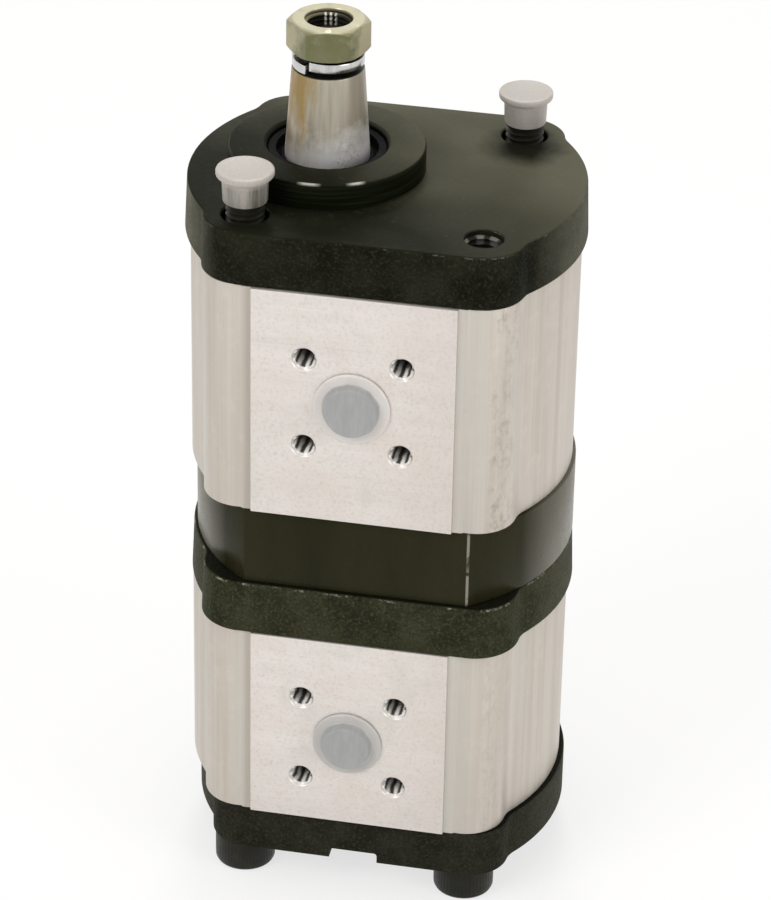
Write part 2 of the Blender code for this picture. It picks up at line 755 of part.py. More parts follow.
# Upper drive gear: cone and thread at the front, driving tongue at the rear
coupling_low = intermediate_z + COUPLING_END_GAP
coupling_high = intermediate_z + INTERMEDIATE_THICKNESS - COUPLING_END_GAP
coupling_middle = (coupling_low + coupling_high) / 2
gear_z = upper["gear_z"]
cone_low = mounting_face_z + CONE_BASE_HEIGHT - gear_z
cone_high = cone_low + CONE_LENGTH
cone_top_radius = cone_base_radius - CONE_LENGTH * CONE_TAPER / 2
washer_low = cone_high + FIT_GAP
nut_low = washer_low + WASHER_THICKNESS + WASHER_RISE + FIT_GAP
thread_end = nut_low + NUT_HEIGHT - THREAD_RECESS
journal_top = upper["top"] - gear_z
journal_low = upper["bottom"] - gear_z
bm = bmesh.new()
profile = [
    (0, thread_end),
    (THREAD_RADIUS - 0.0011, thread_end),
    (THREAD_RADIUS, thread_end - 0.0011),
    (THREAD_RADIUS, cone_high + 0.0012),
    (THREAD_RADIUS - 0.0008, cone_high + 0.0006),
    (THREAD_RADIUS - 0.0008, cone_high),
    (cone_top_radius - 0.0005, cone_high),
    (cone_top_radius, cone_high - 0.0005),
    (cone_base_radius, cone_low),
    (cone_base_radius, journal_top),
    (journal_radius, journal_top - (journal_radius - cone_base_radius)),
    (journal_radius, journal_low),
    (neck_radius, journal_low),
    (neck_radius, coupling_high - gear_z + FIT_GAP),
    (0, coupling_high - gear_z + FIT_GAP),
]
add_turned(bm, profile, ROUND)
drive = finish("upper_drive_gear_shaft", bm, "ground_steel", (-SHAFT_OFFSET, 0, gear_z))
add_gear(drive, UPPER_GEAR_WIDTH, 0, 0)
bm = bmesh.new()
tang_low = coupling_middle + FIT_GAP - gear_z
add_loft(bm, [(tang_outline(0), tang_low), (tang_outline(0), coupling_high - gear_z + 2 * FIT_GAP)])
combine(drive, helper("upper_drive_gear_shaft_tang", bm, tuple(drive.location)), "UNION")

# The key lies in the cone on the side away from the outlets
key_z = (cone_low + cone_high) / 2
key_surface = (cone_base_radius + cone_top_radius) / 2
key_centre = key_surface + KEY_PROUD - KEY_RADIUS * 0.35


def add_key(bm, half_width, radius, top):
    """Half-moon key: a disc across the shaft cut off along its outer edge."""
    rise = top - key_centre
    start = math.asin(max(-1.0, min(1.0, rise / radius)))
    turns = [math.pi - start + (math.pi + 2 * start) * i / 12 for i in range(13)]
    rim = [(key_centre + radius * math.sin(t), key_z + radius * math.cos(t)) for t in turns]
    left = [bm.verts.new((-half_width, y, z)) for y, z in rim]
    right = [bm.verts.new((half_width, y, z)) for y, z in rim]
    for i in range(len(rim)):
        j = (i + 1) % len(rim)
        bm.faces.new((left[i], left[j], right[j], right[i]))
    bm.faces.new(left)
    bm.faces.new(list(reversed(right)))


bm = bmesh.new()
add_key(bm, KEY_WIDTH / 2 + FIT_GAP, KEY_RADIUS + FIT_GAP, key_surface + KEY_PROUD + 0.002)
combine(drive, helper("upper_drive_gear_shaft_keyway", bm, tuple(drive.location)))
bm = bmesh.new()
add_key(bm, KEY_WIDTH / 2, KEY_RADIUS, key_surface + KEY_PROUD)
key = finish("woodruff_key", bm, "ground_steel", (-SHAFT_OFFSET, 0, gear_z))

# Split spring washer: a flat section carried round a shallow helix
bm = bmesh.new()
inner = THREAD_RADIUS + 2 * FIT_GAP
turns = 24
rings = []
for i in range(turns + 1):
    share = i / turns
    angle = WASHER_SLIT_AT + WASHER_SLIT / 2 + (2 * math.pi - WASHER_SLIT) * share
    z = washer_low + WASHER_RISE * (1 - share)
    corners = [
        (inner, z),
        (WASHER_RADIUS, z),
        (WASHER_RADIUS, z + WASHER_THICKNESS),
        (inner, z + WASHER_THICKNESS),
    ]
    rings.append([bm.verts.new((r * math.cos(angle), r * math.sin(angle), h)) for r, h in corners])
for one, two in zip(rings, rings[1:]):
    for i in range(4):
        j = (i + 1) % 4
        bm.faces.new((one[i], one[j], two[j], two[i]))
bm.faces.new(rings[0])
bm.faces.new(list(reversed(rings[-1])))
washer = finish("spring_washer", bm, "spring_steel", (-SHAFT_OFFSET, 0, gear_z))

# Shaft nut: hexagon trimmed by a chamfer cone at both ends
bm = bmesh.new()
corner = NUT_ACROSS_FLATS / math.sqrt(3)
hexagon = circle(0, 0, corner, 6, math.radians(-109.5))
add_loft(bm, [(hexagon, nut_low), (hexagon, nut_low + NUT_HEIGHT)])
nut = finish("shaft_nut", bm, "yellow_zinc", (-SHAFT_OFFSET, 0, gear_z), angle=20)
bm = bmesh.new()
face = NUT_ACROSS_FLATS / 2 * 0.97
run = corner - face
bore = THREAD_RADIUS + FIT_GAP
top = nut_low + NUT_HEIGHT
drop = NUT_CHAMFER * (1 + 0.001 / run)
profile = [
    (bore + 0.0007, top + 0.0001),
    (face, top + 0.0001),
    (corner + 0.001, top + 0.0001 - drop),
    (corner + 0.001, nut_low - 0.0001 + drop / 2),
    (face, nut_low - 0.0001),
    (bore + 0.0007, nut_low - 0.0001),
    (bore, nut_low + 0.0006),
    (bore, top - 0.0006),
]
add_turned(bm, profile, 24, closed=True)
combine(nut, helper("shaft_nut_form", bm, tuple(nut.location)), "INTERSECT")

# Coupling sleeve that joins both tongues
bm = bmesh.new()
slot = tang_outline(FIT_GAP)
sleeve = circle(0, 0, coupling_radius, 24)
add_loft(bm, [(sleeve, 0), (sleeve, coupling_high - coupling_low)])
coupling = finish("shaft_coupling", bm, "black_steel", (-SHAFT_OFFSET, 0, coupling_low))
bm = bmesh.new()
add_loft(bm, [(slot, -0.001), (slot, coupling_high - coupling_low + 0.001)])
combine(coupling, helper("shaft_coupling_slot", bm, tuple(coupling.location)))

# Lower drive gear: journals, neck through the cover and driving tongue
gear_z = lower["gear_z"]
bm = bmesh.new()
neck_top = coupling_low - FIT_GAP - gear_z
down = lower["lower_block"] - BUSH_SETBACK
profile = [
    (0, neck_top),
    (neck_radius, neck_top),
    (neck_radius, lower["top"] - gear_z - 0.001),
    (journal_radius, lower["top"] - gear_z - 0.001),
    (journal_radius, 0.0006 - down),
    (journal_radius - 0.0006, -down),
    (0, -down),
]
add_turned(bm, profile, PLAIN)
lower_drive = finish("lower_drive_gear", bm, "ground_steel", (-SHAFT_OFFSET, 0, gear_z))
add_gear(lower_drive, LOWER_GEAR_WIDTH, 0, 0)
bm = bmesh.new()
tang_high = coupling_middle - FIT_GAP - gear_z
add_loft(bm, [(tang_outline(0), neck_top - FIT_GAP), (tang_outline(0), tang_high)])
combine(lower_drive, helper("lower_drive_gear_tang", bm, tuple(lower_drive.location)), "UNION")

for piece in (drive, key, washer, nut, coupling, lower_drive):
    on_axis(piece, drive_axis)
for piece in ("upper_drive_gear_shaft_teeth", "upper_drive_gear_shaft_tang",
              "upper_drive_gear_shaft_keyway", "shaft_nut_form", "shaft_coupling_slot",
              "lower_drive_gear_teeth", "lower_drive_gear_tang"):
    on_axis(bpy.data.objects[piece], drive_axis)

# Shaft seal, its snap ring, and the seal between the stages
bm = bmesh.new()
lip = (cone_base_radius + RUNNING_CLEARANCE) / math.cos(math.pi / 24)
profile = [
    (seal_radius, SEAL_HEIGHT),
    (seal_radius, 0),
    (seal_radius - 0.0012, 0),
    (seal_radius - 0.0012, SEAL_HEIGHT - 0.0018),
    (lip, SEAL_HEIGHT - 0.0036),
    (lip, SEAL_HEIGHT - 0.0004),
    (lip + 0.0018, SEAL_HEIGHT - 0.0008),
    (seal_radius - 0.0014, SEAL_HEIGHT - 0.0008),
]
add_turned(bm, profile, 24, closed=True)
seal_z = flange_z + pilot_top - SEAL_DEPTH - SEAL_HEIGHT
finish("shaft_seal", bm, "black_rubber", (-SHAFT_OFFSET, 0, seal_z))
bm = bmesh.new()
rings = []
for i in range(25):
    angle = math.pi / 2 + SNAP_RING_GAP / 2 + (2 * math.pi - SNAP_RING_GAP) * i / 24
    near = seal_radius - SNAP_RING_WIDTH - (0.0008 if i in (0, 1, 23, 24) else 0.0)
    corners = [(near, 0), (seal_radius, 0), (seal_radius, SNAP_RING_THICKNESS), (near, SNAP_RING_THICKNESS)]
    rings.append([bm.verts.new((r * math.cos(angle), r * math.sin(angle), h)) for r, h in corners])
for one, two in zip(rings, rings[1:]):
    for i in range(4):
        j = (i + 1) % 4
        bm.faces.new((one[i], one[j], two[j], two[i]))
bm.faces.new(rings[0])
bm.faces.new(list(reversed(rings[-1])))
finish("seal_snap_ring", bm, "black_steel", (-SHAFT_OFFSET, 0, seal_z + SEAL_HEIGHT + FIT_GAP))
bm = bmesh.new()
lip = (neck_radius + RUNNING_CLEARANCE) / math.cos(math.pi / PLAIN)
profile = [
    (stage_seal_radius, STAGE_SEAL_HEIGHT - FIT_GAP),
    (stage_seal_radius, 0),
    (lip + 0.0012, 0),
    (lip, 0.0012),
    (lip, STAGE_SEAL_HEIGHT - FIT_GAP),
]
add_turned(bm, profile, PLAIN, closed=True)
finish(
    "stage_seal",
    bm,
    "black_rubber",
    (-SHAFT_OFFSET, 0, lower_cover_z + LOWER_COVER_THICKNESS - STAGE_SEAL_HEIGHT),
)


def socket_screw(name, x, y, end_z):
    """Long socket head screw, head down, from under the rear cover."""
    bm = bmesh.new()
    profile = [
        (0, end_z),
        (SCREW_RADIUS - 0.0012, end_z),
        (SCREW_RADIUS, end_z - 0.0012),
        (SCREW_RADIUS, SCREW_HEAD_HEIGHT),
        (SCREW_HEAD_RADIUS, SCREW_HEAD_HEIGHT),
        (SCREW_HEAD_RADIUS, 0.0009),
        (SCREW_HEAD_RADIUS - 0.0009, 0),
        (0, 0),
    ]
    add_turned(bm, profile, PLAIN)
    made = finish(name, bm, "black_steel", (x, y, 0))
    bm = bmesh.new()
    socket = circle(0, 0, SOCKET_ACROSS_FLATS / math.sqrt(3), 6)
    add_loft(bm, [(socket, -0.001), (socket, SOCKET_DEPTH)])
    combine(made, helper(name + "_socket", bm, (x, y, 0)))


def thread_cap(name, x, y):
    """Soft cap pushed over a bolt end, standing clear of the flange."""
    bm = bmesh.new()
    under = CAP_HEIGHT - CAP_FLANGE_THICKNESS
    inner = SCREW_RADIUS + FIT_GAP / 2
    ceiling = THROUGH_BOLT_END + FIT_GAP
    profile = [
        (0, CAP_HEIGHT - 0.0004),
        (CAP_FLANGE_RADIUS - 0.0012, CAP_HEIGHT - 0.0003),
        (CAP_FLANGE_RADIUS - 0.0005, CAP_HEIGHT),
        (CAP_FLANGE_RADIUS, CAP_HEIGHT - 0.0005),
        (CAP_FLANGE_RADIUS - 0.0003, under),
        (CAP_TOP_RADIUS, under),
        (inner + CAP_WALL, CAP_STANDS_OFF),
        (inner, CAP_STANDS_OFF),
        (inner, ceiling),
        (0, ceiling + FIT_GAP / 2),
    ]
    add_turned(bm, profile, 20)
    return finish(name, bm, "milky_plastic", (x, y, mounting_face_z))


left, right, front_right, rear_left = screw_places()
socket_screw("left_through_bolt", *left, mounting_face_z + THROUGH_BOLT_END)
socket_screw("right_through_bolt", *right, mounting_face_z + THROUGH_BOLT_END)
socket_screw("front_body_screw", *front_right, mounting_face_z - TAPPED_SCREW_SETBACK)
socket_screw("rear_body_screw", *rear_left, mounting_face_z - TAPPED_SCREW_SETBACK)
thread_cap("left_thread_cap", *left)
thread_cap("right_thread_cap", *right)


def port_plug(name, radius, facing, z):
    """Push-in plug: thin flange on the pad, raised boss in front, skirt in the bore."""
    flange = radius + PLUG_LIP
    skirt = radius - FIT_GAP
    boss = skirt - 0.0004
    rise = PLUG_FLANGE_THICKNESS + PLUG_BOSS_HEIGHT
    bm = bmesh.new()
    profile = [
        (0, rise),
        (boss - 0.0006, rise),
        (boss - 0.0001, rise - 0.0005),
        (skirt, PLUG_FLANGE_THICKNESS),
        (flange - 0.0002, PLUG_FLANGE_THICKNESS),
        (flange, 0),
        (skirt, 0),
        (skirt - 0.0004, -PLUG_SKIRT),
        (skirt - PLUG_WALL, -PLUG_SKIRT),
        (boss - PLUG_WALL, rise - PLUG_WALL),
        (0, rise - PLUG_WALL),
    ]
    add_turned(bm, profile, 20)
    seat = facing * (pad_y + JOINT_GAP)
    return finish(name, bm, "milky_plastic", (0, seat, z), (math.radians(-90 * facing), 0, 0))


upper_port_z = upper_housing_z + UPPER_PORT_HEIGHT
lower_port_z = lower_housing_z + LOWER_PORT_HEIGHT
port_plug("upper_outlet_plug", UPPER_OUTLET_RADIUS, -1, upper_port_z)
port_plug("lower_outlet_plug", LOWER_OUTLET_RADIUS, -1, lower_port_z)
port_plug("upper_inlet_plug", INLET_RADIUS, 1, upper_port_z)
port_plug("lower_inlet_plug", INLET_RADIUS, 1, lower_port_z)
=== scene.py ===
import math

import bpy
from mathutils import Matrix, Vector


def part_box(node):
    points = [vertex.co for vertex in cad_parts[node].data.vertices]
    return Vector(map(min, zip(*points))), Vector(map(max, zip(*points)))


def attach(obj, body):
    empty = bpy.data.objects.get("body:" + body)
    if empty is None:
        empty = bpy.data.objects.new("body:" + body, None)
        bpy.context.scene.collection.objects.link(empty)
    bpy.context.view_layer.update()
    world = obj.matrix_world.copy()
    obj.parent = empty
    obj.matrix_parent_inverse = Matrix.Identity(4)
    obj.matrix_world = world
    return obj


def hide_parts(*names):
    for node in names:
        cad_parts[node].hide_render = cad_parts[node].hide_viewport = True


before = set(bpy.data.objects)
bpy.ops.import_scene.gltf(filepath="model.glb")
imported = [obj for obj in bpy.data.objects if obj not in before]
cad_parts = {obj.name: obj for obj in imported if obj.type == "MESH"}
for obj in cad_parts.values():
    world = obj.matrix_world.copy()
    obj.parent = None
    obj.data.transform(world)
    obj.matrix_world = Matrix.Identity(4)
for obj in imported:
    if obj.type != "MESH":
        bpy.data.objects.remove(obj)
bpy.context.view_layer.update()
mm = 0.001
sameSpot = 1e-6
print("frame loaded:", len(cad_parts), "nodes")


def pick(*pieces):
    # selects only these pieces, the last one active
    if bpy.context.mode != "OBJECT":
        bpy.ops.object.mode_set(mode="OBJECT")
    bpy.ops.object.select_all(action="DESELECT")
    for piece in pieces:
        piece.select_set(True)
        bpy.context.view_layer.objects.active = piece


def placed(name, turn=(0, 0, 0)):
    # names the new primitive and puts its place into its mesh
    piece = bpy.context.active_object
    piece.name = name
    piece.rotation_euler = turn
    bpy.ops.object.transform_apply(location=True, rotation=True, scale=True)
    return piece


def addHexagon(name, corner, low, high):
    pick()
    bpy.ops.mesh.primitive_cone_add(vertices=6, radius1=corner, radius2=corner, depth=high - low,
                                    location=(0, 0, (low + high) / 2))
    return placed(name)


def addBlock(name, low, high):
    pick()
    middle = [(a + b) / 2 for a, b in zip(low, high)]
    bpy.ops.mesh.primitive_cube_add(size=1, location=middle, scale=[b - a for a, b in zip(low, high)])
    return placed(name)


def selectAll():
    bpy.ops.mesh.select_all(action="SELECT")


def editAll():
    # into edit mode, with everything selected
    bpy.ops.object.mode_set(mode="EDIT")
    selectAll()


def weld(distance=sameSpot):
    bpy.ops.mesh.remove_doubles(threshold=distance)


def faceOutwards():
    selectAll()
    bpy.ops.mesh.normals_make_consistent(inside=False)


def drawLine(name, points, flat=False):
    # a chain of edges, drawn point by point as (outwards, up) pairs, or as (x, y) pairs when flat
    pick()
    bpy.ops.mesh.primitive_plane_add(size=mm)
    piece = bpy.context.active_object
    piece.name = name
    editAll()
    bpy.ops.mesh.merge(type="CENTER")
    last = (0, 0)
    for i, point in enumerate(points):
        across, rise = point[0] - last[0], point[1] - last[1]
        step = (across, rise, 0) if flat else (across, 0, rise)
        if i == 0:
            bpy.ops.transform.translate(value=step)
        else:
            bpy.ops.mesh.extrude_vertices_move(TRANSFORM_OT_translate={"value": step})
        last = point
    selectAll()
    return piece


def spinRound(name, points, count=64, centre=(0, 0), closed=False, turn=(0, 0, 0), at=None):
    # turns a drawn line about its axis into a closed body
    piece = drawLine(name, list(points) + ([points[0]] if closed else []))
    weld()
    selectAll()
    bpy.ops.mesh.spin(steps=count, angle=2 * math.pi, center=(0, 0, 0), axis=(0, 0, 1))
    selectAll()
    weld(2 * sameSpot)
    bpy.ops.mesh.dissolve_degenerate(threshold=1e-6)
    bpy.ops.mesh.normals_make_consistent(inside=False)
    pick(piece)
    piece.location = at if at is not None else (*centre, 0)
    return placed(name, turn)


def raisePlate(name, outline, low, high, draft=0.0, middle=0.0):
    # a drawn outline is filled and pulled up, and its top is drawn in a little
    piece = drawLine(name, outline + outline[:1], flat=True)
    weld()
    selectAll()
    bpy.ops.mesh.edge_face_add()
    bpy.ops.mesh.extrude_region_move(TRANSFORM_OT_translate={"value": (0, 0, high - low)})
    if draft:
        reachX = max(point[0] for point in outline) - middle
        reachY = max(point[1] for point in outline)
        bpy.ops.transform.resize(value=(1 - draft / reachX, 1 - draft / reachY, 1),
                                 center_override=(middle, 0, high - low))
    faceOutwards()
    pick(piece)
    piece.location = (0, 0, low)
    return placed(name)


def sliceOff(piece, point, normal):
    # cuts the piece flat and closes it, keeping the side the normal points away from
    pick(piece)
    editAll()
    bpy.ops.mesh.bisect(plane_co=point, plane_no=normal, use_fill=True, clear_outer=True)
    bpy.ops.object.mode_set(mode="OBJECT")


def combine(piece, tool, how="DIFFERENCE"):
    pick(piece)
    step = piece.modifiers.new("combine", "BOOLEAN")
    step.operation = how
    step.solver = "EXACT"
    step.object = tool
    bpy.ops.object.modifier_apply(modifier=step.name)
    bpy.data.objects.remove(tool, do_unlink=True)
    return piece


def roundEdges(piece, width, segments=2, angle=40, clamp=True):
    pick(piece)
    step = piece.modifiers.new("edges", "BEVEL")
    step.width = width
    step.segments = segments
    step.limit_method = "ANGLE"
    step.angle_limit = math.radians(angle)
    step.use_clamp_overlap = clamp
    bpy.ops.object.modifier_apply(modifier=step.name)
    return piece


def cleanUp(piece):
    # loose triangles become whole faces again
    pick(piece)
    editAll()
    weld(3 * sameSpot)
    bpy.ops.mesh.dissolve_limited(angle_limit=math.radians(0.3))
    bpy.ops.object.mode_set(mode="OBJECT")
    return piece


def copyOf(piece, name, shift=(0, 0, 0), turn=0.0, axis="Z", size=1.0):
    made = piece.copy()
    made.data = piece.data.copy()
    made.name = name
    bpy.context.scene.collection.objects.link(made)
    grow = Matrix.Diagonal((size, size, 1, 1))
    made.data.transform(Matrix.Translation(shift) @ Matrix.Rotation(turn, 4, axis) @ grow)
    return made


def discard(*pieces):
    for piece in pieces:
        bpy.data.objects.remove(piece, do_unlink=True)


def gather(name, pieces):
    # several bodies of one piece become one object
    pick(*pieces)
    if len(pieces) > 1:
        bpy.ops.object.join()
    made = bpy.context.active_object
    made.name = name
    return made


ownSpaceName = "ownSpace"


def keepOwnSpace(piece, size=1.0):
    # stores where each point lies now, for materials that follow the piece to its place
    layer = piece.data.attributes.new(ownSpaceName, "FLOAT_VECTOR", "POINT")
    for point, value in zip(piece.data.vertices, layer.data):
        value.vector = point.co / size


def finishPiece(piece, material, slotName, body, *nodes, angle=30):
    pick(piece)
    piece.data.materials.clear()
    piece.data.materials.append(material)
    bpy.ops.object.shade_smooth_by_angle(angle=math.radians(angle))
    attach(piece, body)
    if nodes:
        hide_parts(*nodes)
    return piece


def screwThread(name, length, outer, inner, pitch, inwards=False, count=28):
    # one groove, drawn once and carried up its helix
    crest, root = (inner, outer) if inwards else (outer, inner)
    line = [(root, 0), (root, 0.10 * pitch), (crest, 0.44 * pitch), (crest, 0.56 * pitch),
            (root, 0.90 * pitch), (root, pitch)]
    piece = drawLine(name, line)
    pick(piece)
    step = piece.modifiers.new("helix", "SCREW")
    step.axis = "Z"
    step.angle = 2 * math.pi
    step.screw_offset = pitch
    step.iterations = max(1, round(length / pitch) - 1)
    step.steps = count
    step.render_steps = count
    step.use_merge_vertices = True
    step.merge_threshold = 2e-6
    step.use_normal_calculate = True
    bpy.ops.object.modifier_apply(modifier=step.name)
    editAll()
    weld(2 * sameSpot)
    bpy.ops.object.mode_set(mode="OBJECT")
    facing = sum((f.center.x * f.normal.x + f.center.y * f.normal.y) * f.area for f in piece.data.polygons)
    if (facing < 0) != inwards:
        editAll()
        bpy.ops.mesh.flip_normals()
        bpy.ops.object.mode_set(mode="OBJECT")
    return piece


def newGroup(name, inputs, outputs):
    group = bpy.data.node_groups.new(name, "ShaderNodeTree")
    for label, kind, value in inputs:
        made = group.interface.new_socket(name=label, in_out="INPUT", socket_type="NodeSocket" + kind)
        if value is not None:
            made.default_value = value
    for label, kind in outputs:
        group.interface.new_socket(name=label, in_out="OUTPUT", socket_type="NodeSocket" + kind)
    return group, group.nodes.new("NodeGroupInput"), group.nodes.new("NodeGroupOutput")


def setSocket(tree, socket, value):
    if isinstance(value, bpy.types.NodeSocket):
        tree.links.new(value, socket)
    elif socket.type == "RGBA" and len(value) == 3:
        socket.default_value = (*value, 1)
    else:
        socket.default_value = value


def addNode(tree, kind, sockets=None, **settings):
    made = tree.nodes.new("ShaderNode" + kind)
    for key, value in settings.items():
        setattr(made, key, value)
    for key, value in (sockets or {}).items():
        setSocket(tree, made.inputs[key], value)
    return made


def useGroup(tree, group, sockets):
    made = tree.nodes.new("ShaderNodeGroup")
    made.node_tree = group
    for key, value in sockets.items():
        setSocket(tree, made.inputs[key], value)
    return made.outputs


def noise(tree, vector, scale, detail=3.0, rough=0.55):
    made = addNode(tree, "TexNoise", {"Vector": vector, "Scale": scale, "Detail": detail, "Roughness": rough})
    return made.outputs["Fac"]


def ranged(tree, value, low, high, toLow=0.0, toHigh=1.0):
    sockets = {"Value": value, "From Min": low, "From Max": high, "To Min": toLow, "To Max": toHigh}
    return addNode(tree, "MapRange", sockets).outputs["Result"]


def maths(tree, operation, a, b=0.0):
    return addNode(tree, "Math", {0: a, 1: b}, operation=operation).outputs[0]


def both(tree, *masks):
    # where all of the masks hold
    made = masks[0]
    for mask in masks[1:]:
        made = maths(tree, "MULTIPLY", made, mask)
    return made


def bandOf(tree, value, middle, half, fade):
    # 1 within half of the middle value, fading out beside it
    away = maths(tree, "ABSOLUTE", maths(tree, "SUBTRACT", value, middle))
    return ranged(tree, away, half, half + fade, 1.0, 0.0)


def stretched(tree, vector, scale):
    return addNode(tree, "Mapping", {"Vector": vector, "Scale": scale}).outputs["Vector"]


def mixColour(tree, share, a, b):
    return addNode(tree, "Mix", {0: share, 6: a, 7: b}, data_type="RGBA").outputs[2]


def tinted(tree, colour, other, *masks):
    # the colour, with the other one where all of the masks hold
    return mixColour(tree, both(tree, *masks), colour, other)


def axesOf(tree, vector):
    return addNode(tree, "SeparateXYZ", {0: vector}).outputs


def ownPlace(tree):
    return addNode(tree, "Attribute", attribute_name=ownSpaceName).outputs["Vector"]


def mixValue(tree, share, a, b):
    return addNode(tree, "Mix", {0: share, 2: a, 3: b}).outputs[0]


# sand-cast skin: grains, pits and broad patches
castGrain, start, end = newGroup(
    "castGrain", [("Vector", "Vector", None), ("Size", "Float", 900.0)],
    [("Height", "Float"), ("Tone", "Float"), ("Fleck", "Float")])
grainSize = start.outputs["Size"]
coarse = noise(castGrain, start.outputs["Vector"], grainSize, 5.0, 0.7)
pitSize = maths(castGrain, "MULTIPLY", grainSize, 1.6)
pits = addNode(castGrain, "TexVoronoi", {"Vector": start.outputs["Vector"], "Scale": pitSize},
               feature="SMOOTH_F1")
pitDepth = ranged(castGrain, pits.outputs["Distance"], 0.05, 0.6)
setSocket(castGrain, end.inputs["Height"],
          maths(castGrain, "ADD", coarse, maths(castGrain, "MULTIPLY", pitDepth, 0.45)))
setSocket(castGrain, end.inputs["Tone"],
          noise(castGrain, start.outputs["Vector"], maths(castGrain, "MULTIPLY", grainSize, 0.10), 4.0, 0.6))
fleckSize = maths(castGrain, "MULTIPLY", grainSize, 1.25)
fleckField = noise(castGrain, start.outputs["Vector"], fleckSize, 3.0, 0.65)
setSocket(castGrain, end.inputs["Fleck"], ranged(castGrain, fleckField, 0.50, 0.72))

# long fine streaks along one direction, from drawing or milling
drawnStreaks, start, end = newGroup(
    "drawnStreaks", [("Vector", "Vector", None), ("Stretch", "Vector", (1, 1, 1))],
    [("Height", "Float"), ("Tone", "Float")])
squeezed = addNode(drawnStreaks, "VectorMath", {0: start.outputs["Vector"], 1: start.outputs["Stretch"]},
                   operation="MULTIPLY").outputs[0]
thin = noise(drawnStreaks, squeezed, 1.0, 4.0, 0.65)
broad = noise(drawnStreaks, squeezed, 0.22, 3.0, 0.5)
setSocket(drawnStreaks, end.inputs["Height"], thin)
setSocket(drawnStreaks, end.inputs["Tone"], mixValue(drawnStreaks, 0.5, thin, broad))

# oil, dust and handling marks in soft patches, with a fine speckle
handlingMarks, start, end = newGroup(
    "handlingMarks", [("Vector", "Vector", None), ("Size", "Float", 60.0), ("Amount", "Float", 0.5)],
    [("Mask", "Float"), ("Fine", "Float")])
cloud = noise(handlingMarks, start.outputs["Vector"], start.outputs["Size"], 5.0, 0.6)
spread = maths(handlingMarks, "MULTIPLY", start.outputs["Amount"], 0.4)
edgeLow = maths(handlingMarks, "SUBTRACT", 0.78, spread)
setSocket(handlingMarks, end.inputs["Mask"], ranged(handlingMarks, cloud, edgeLow, 0.85))
fineSize = maths(handlingMarks, "MULTIPLY", start.outputs["Size"], 14.0)
setSocket(handlingMarks, end.inputs["Fine"],
          noise(handlingMarks, start.outputs["Vector"], fineSize, 2.0, 0.5))

# distance from an upright axis and the angle about it
aboutAxis, start, end = newGroup(
    "aboutAxis", [("Vector", "Vector", None), ("Centre", "Vector", (0, 0, 0))],
    [("Radius", "Float"), ("Turn", "Float"), ("Height", "Float")])
fromAxis = addNode(aboutAxis, "VectorMath", {0: start.outputs["Vector"], 1: start.outputs["Centre"]},
                   operation="SUBTRACT").outputs[0]
axisPlace = axesOf(aboutAxis, fromAxis)
flatPlace = addNode(aboutAxis, "CombineXYZ", {0: axisPlace["X"], 1: axisPlace["Y"]}).outputs[0]
setSocket(aboutAxis, end.inputs["Radius"],
          addNode(aboutAxis, "VectorMath", {0: flatPlace}, operation="LENGTH").outputs["Value"])
setSocket(aboutAxis, end.inputs["Turn"], maths(aboutAxis, "ARCTAN2", axisPlace["Y"], axisPlace["X"]))
setSocket(aboutAxis, end.inputs["Height"], axisPlace["Z"])


def newMaterial(name, colour, roughness, metallic, gloss=0.5, tint=(1, 1, 1)):
    material = bpy.data.materials.new(name)
    material.use_nodes = True
    tree = material.node_tree
    shader = tree.nodes["Principled BSDF"]
    shader.inputs["Base Color"].default_value = (*colour, 1)
    shader.inputs["Roughness"].default_value = roughness
    shader.inputs["Metallic"].default_value = metallic
    shader.inputs["Specular IOR Level"].default_value = gloss
    shader.inputs["Specular Tint"].default_value = (*tint, 1)
    where = tree.nodes.new("ShaderNodeTexCoord").outputs["Object"]
    return material, tree, shader, where


def dress(tree, shader, colour, roughness, height=None, strength=0.1, distance=0.0001, metallic=None):
    setSocket(tree, shader.inputs["Base Color"], colour)
    setSocket(tree, shader.inputs["Roughness"], roughness)
    if metallic is not None:
        setSocket(tree, shader.inputs["Metallic"], metallic)
    if height is not None:
        bump = addNode(tree, "Bump", {"Height": height, "Strength": strength, "Distance": distance})
        setSocket(tree, shader.inputs["Normal"], bump.outputs["Normal"])


levels = {}
for nodeName in ("rear_cover", "lower_housing", "lower_front_cover", "intermediate_cover",
                 "upper_housing", "front_cover"):
    low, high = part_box(nodeName)
    levels[nodeName] = (low.z, high.z)

pilotRise = 7.3 * mm
mountingFace = levels["front_cover"][1] - pilotRise
driveAxis = (-15.6 * mm, 0.0)
idlerAxis = (15.6 * mm, 0.0)
screwReach = 30.0 * mm
screwPlaces = {"left": (-screwReach, -screwReach), "right": (screwReach, screwReach),
               "front": (screwReach, -screwReach), "rear": (-screwReach, screwReach)}
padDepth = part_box("upper_housing")[1].y
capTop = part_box("left_thread_cap")[1].z
nutLow, nutHigh = (corner.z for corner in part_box("shaft_nut"))


def inMetres(**sizes):
    # sizes written in millimetres
    return {key: value * mm for key, value in sizes.items()}


def marksOn(tree, where, size, amount):
    return useGroup(tree, handlingMarks, {"Vector": where, "Size": size, "Amount": amount})


def streaksOn(tree, where, stretch):
    return useGroup(tree, drawnStreaks, {"Vector": where, "Stretch": stretch})


def aboutPoint(tree, where, centre=driveAxis):
    return useGroup(tree, aboutAxis, {"Vector": where, "Centre": (*centre, 0)})


def endsOf(tree, axes, middle, low, high):
    # grows towards the two round ends of a plate
    return ranged(tree, maths(tree, "ABSOLUTE", maths(tree, "SUBTRACT", axes["X"], middle)), low, high)


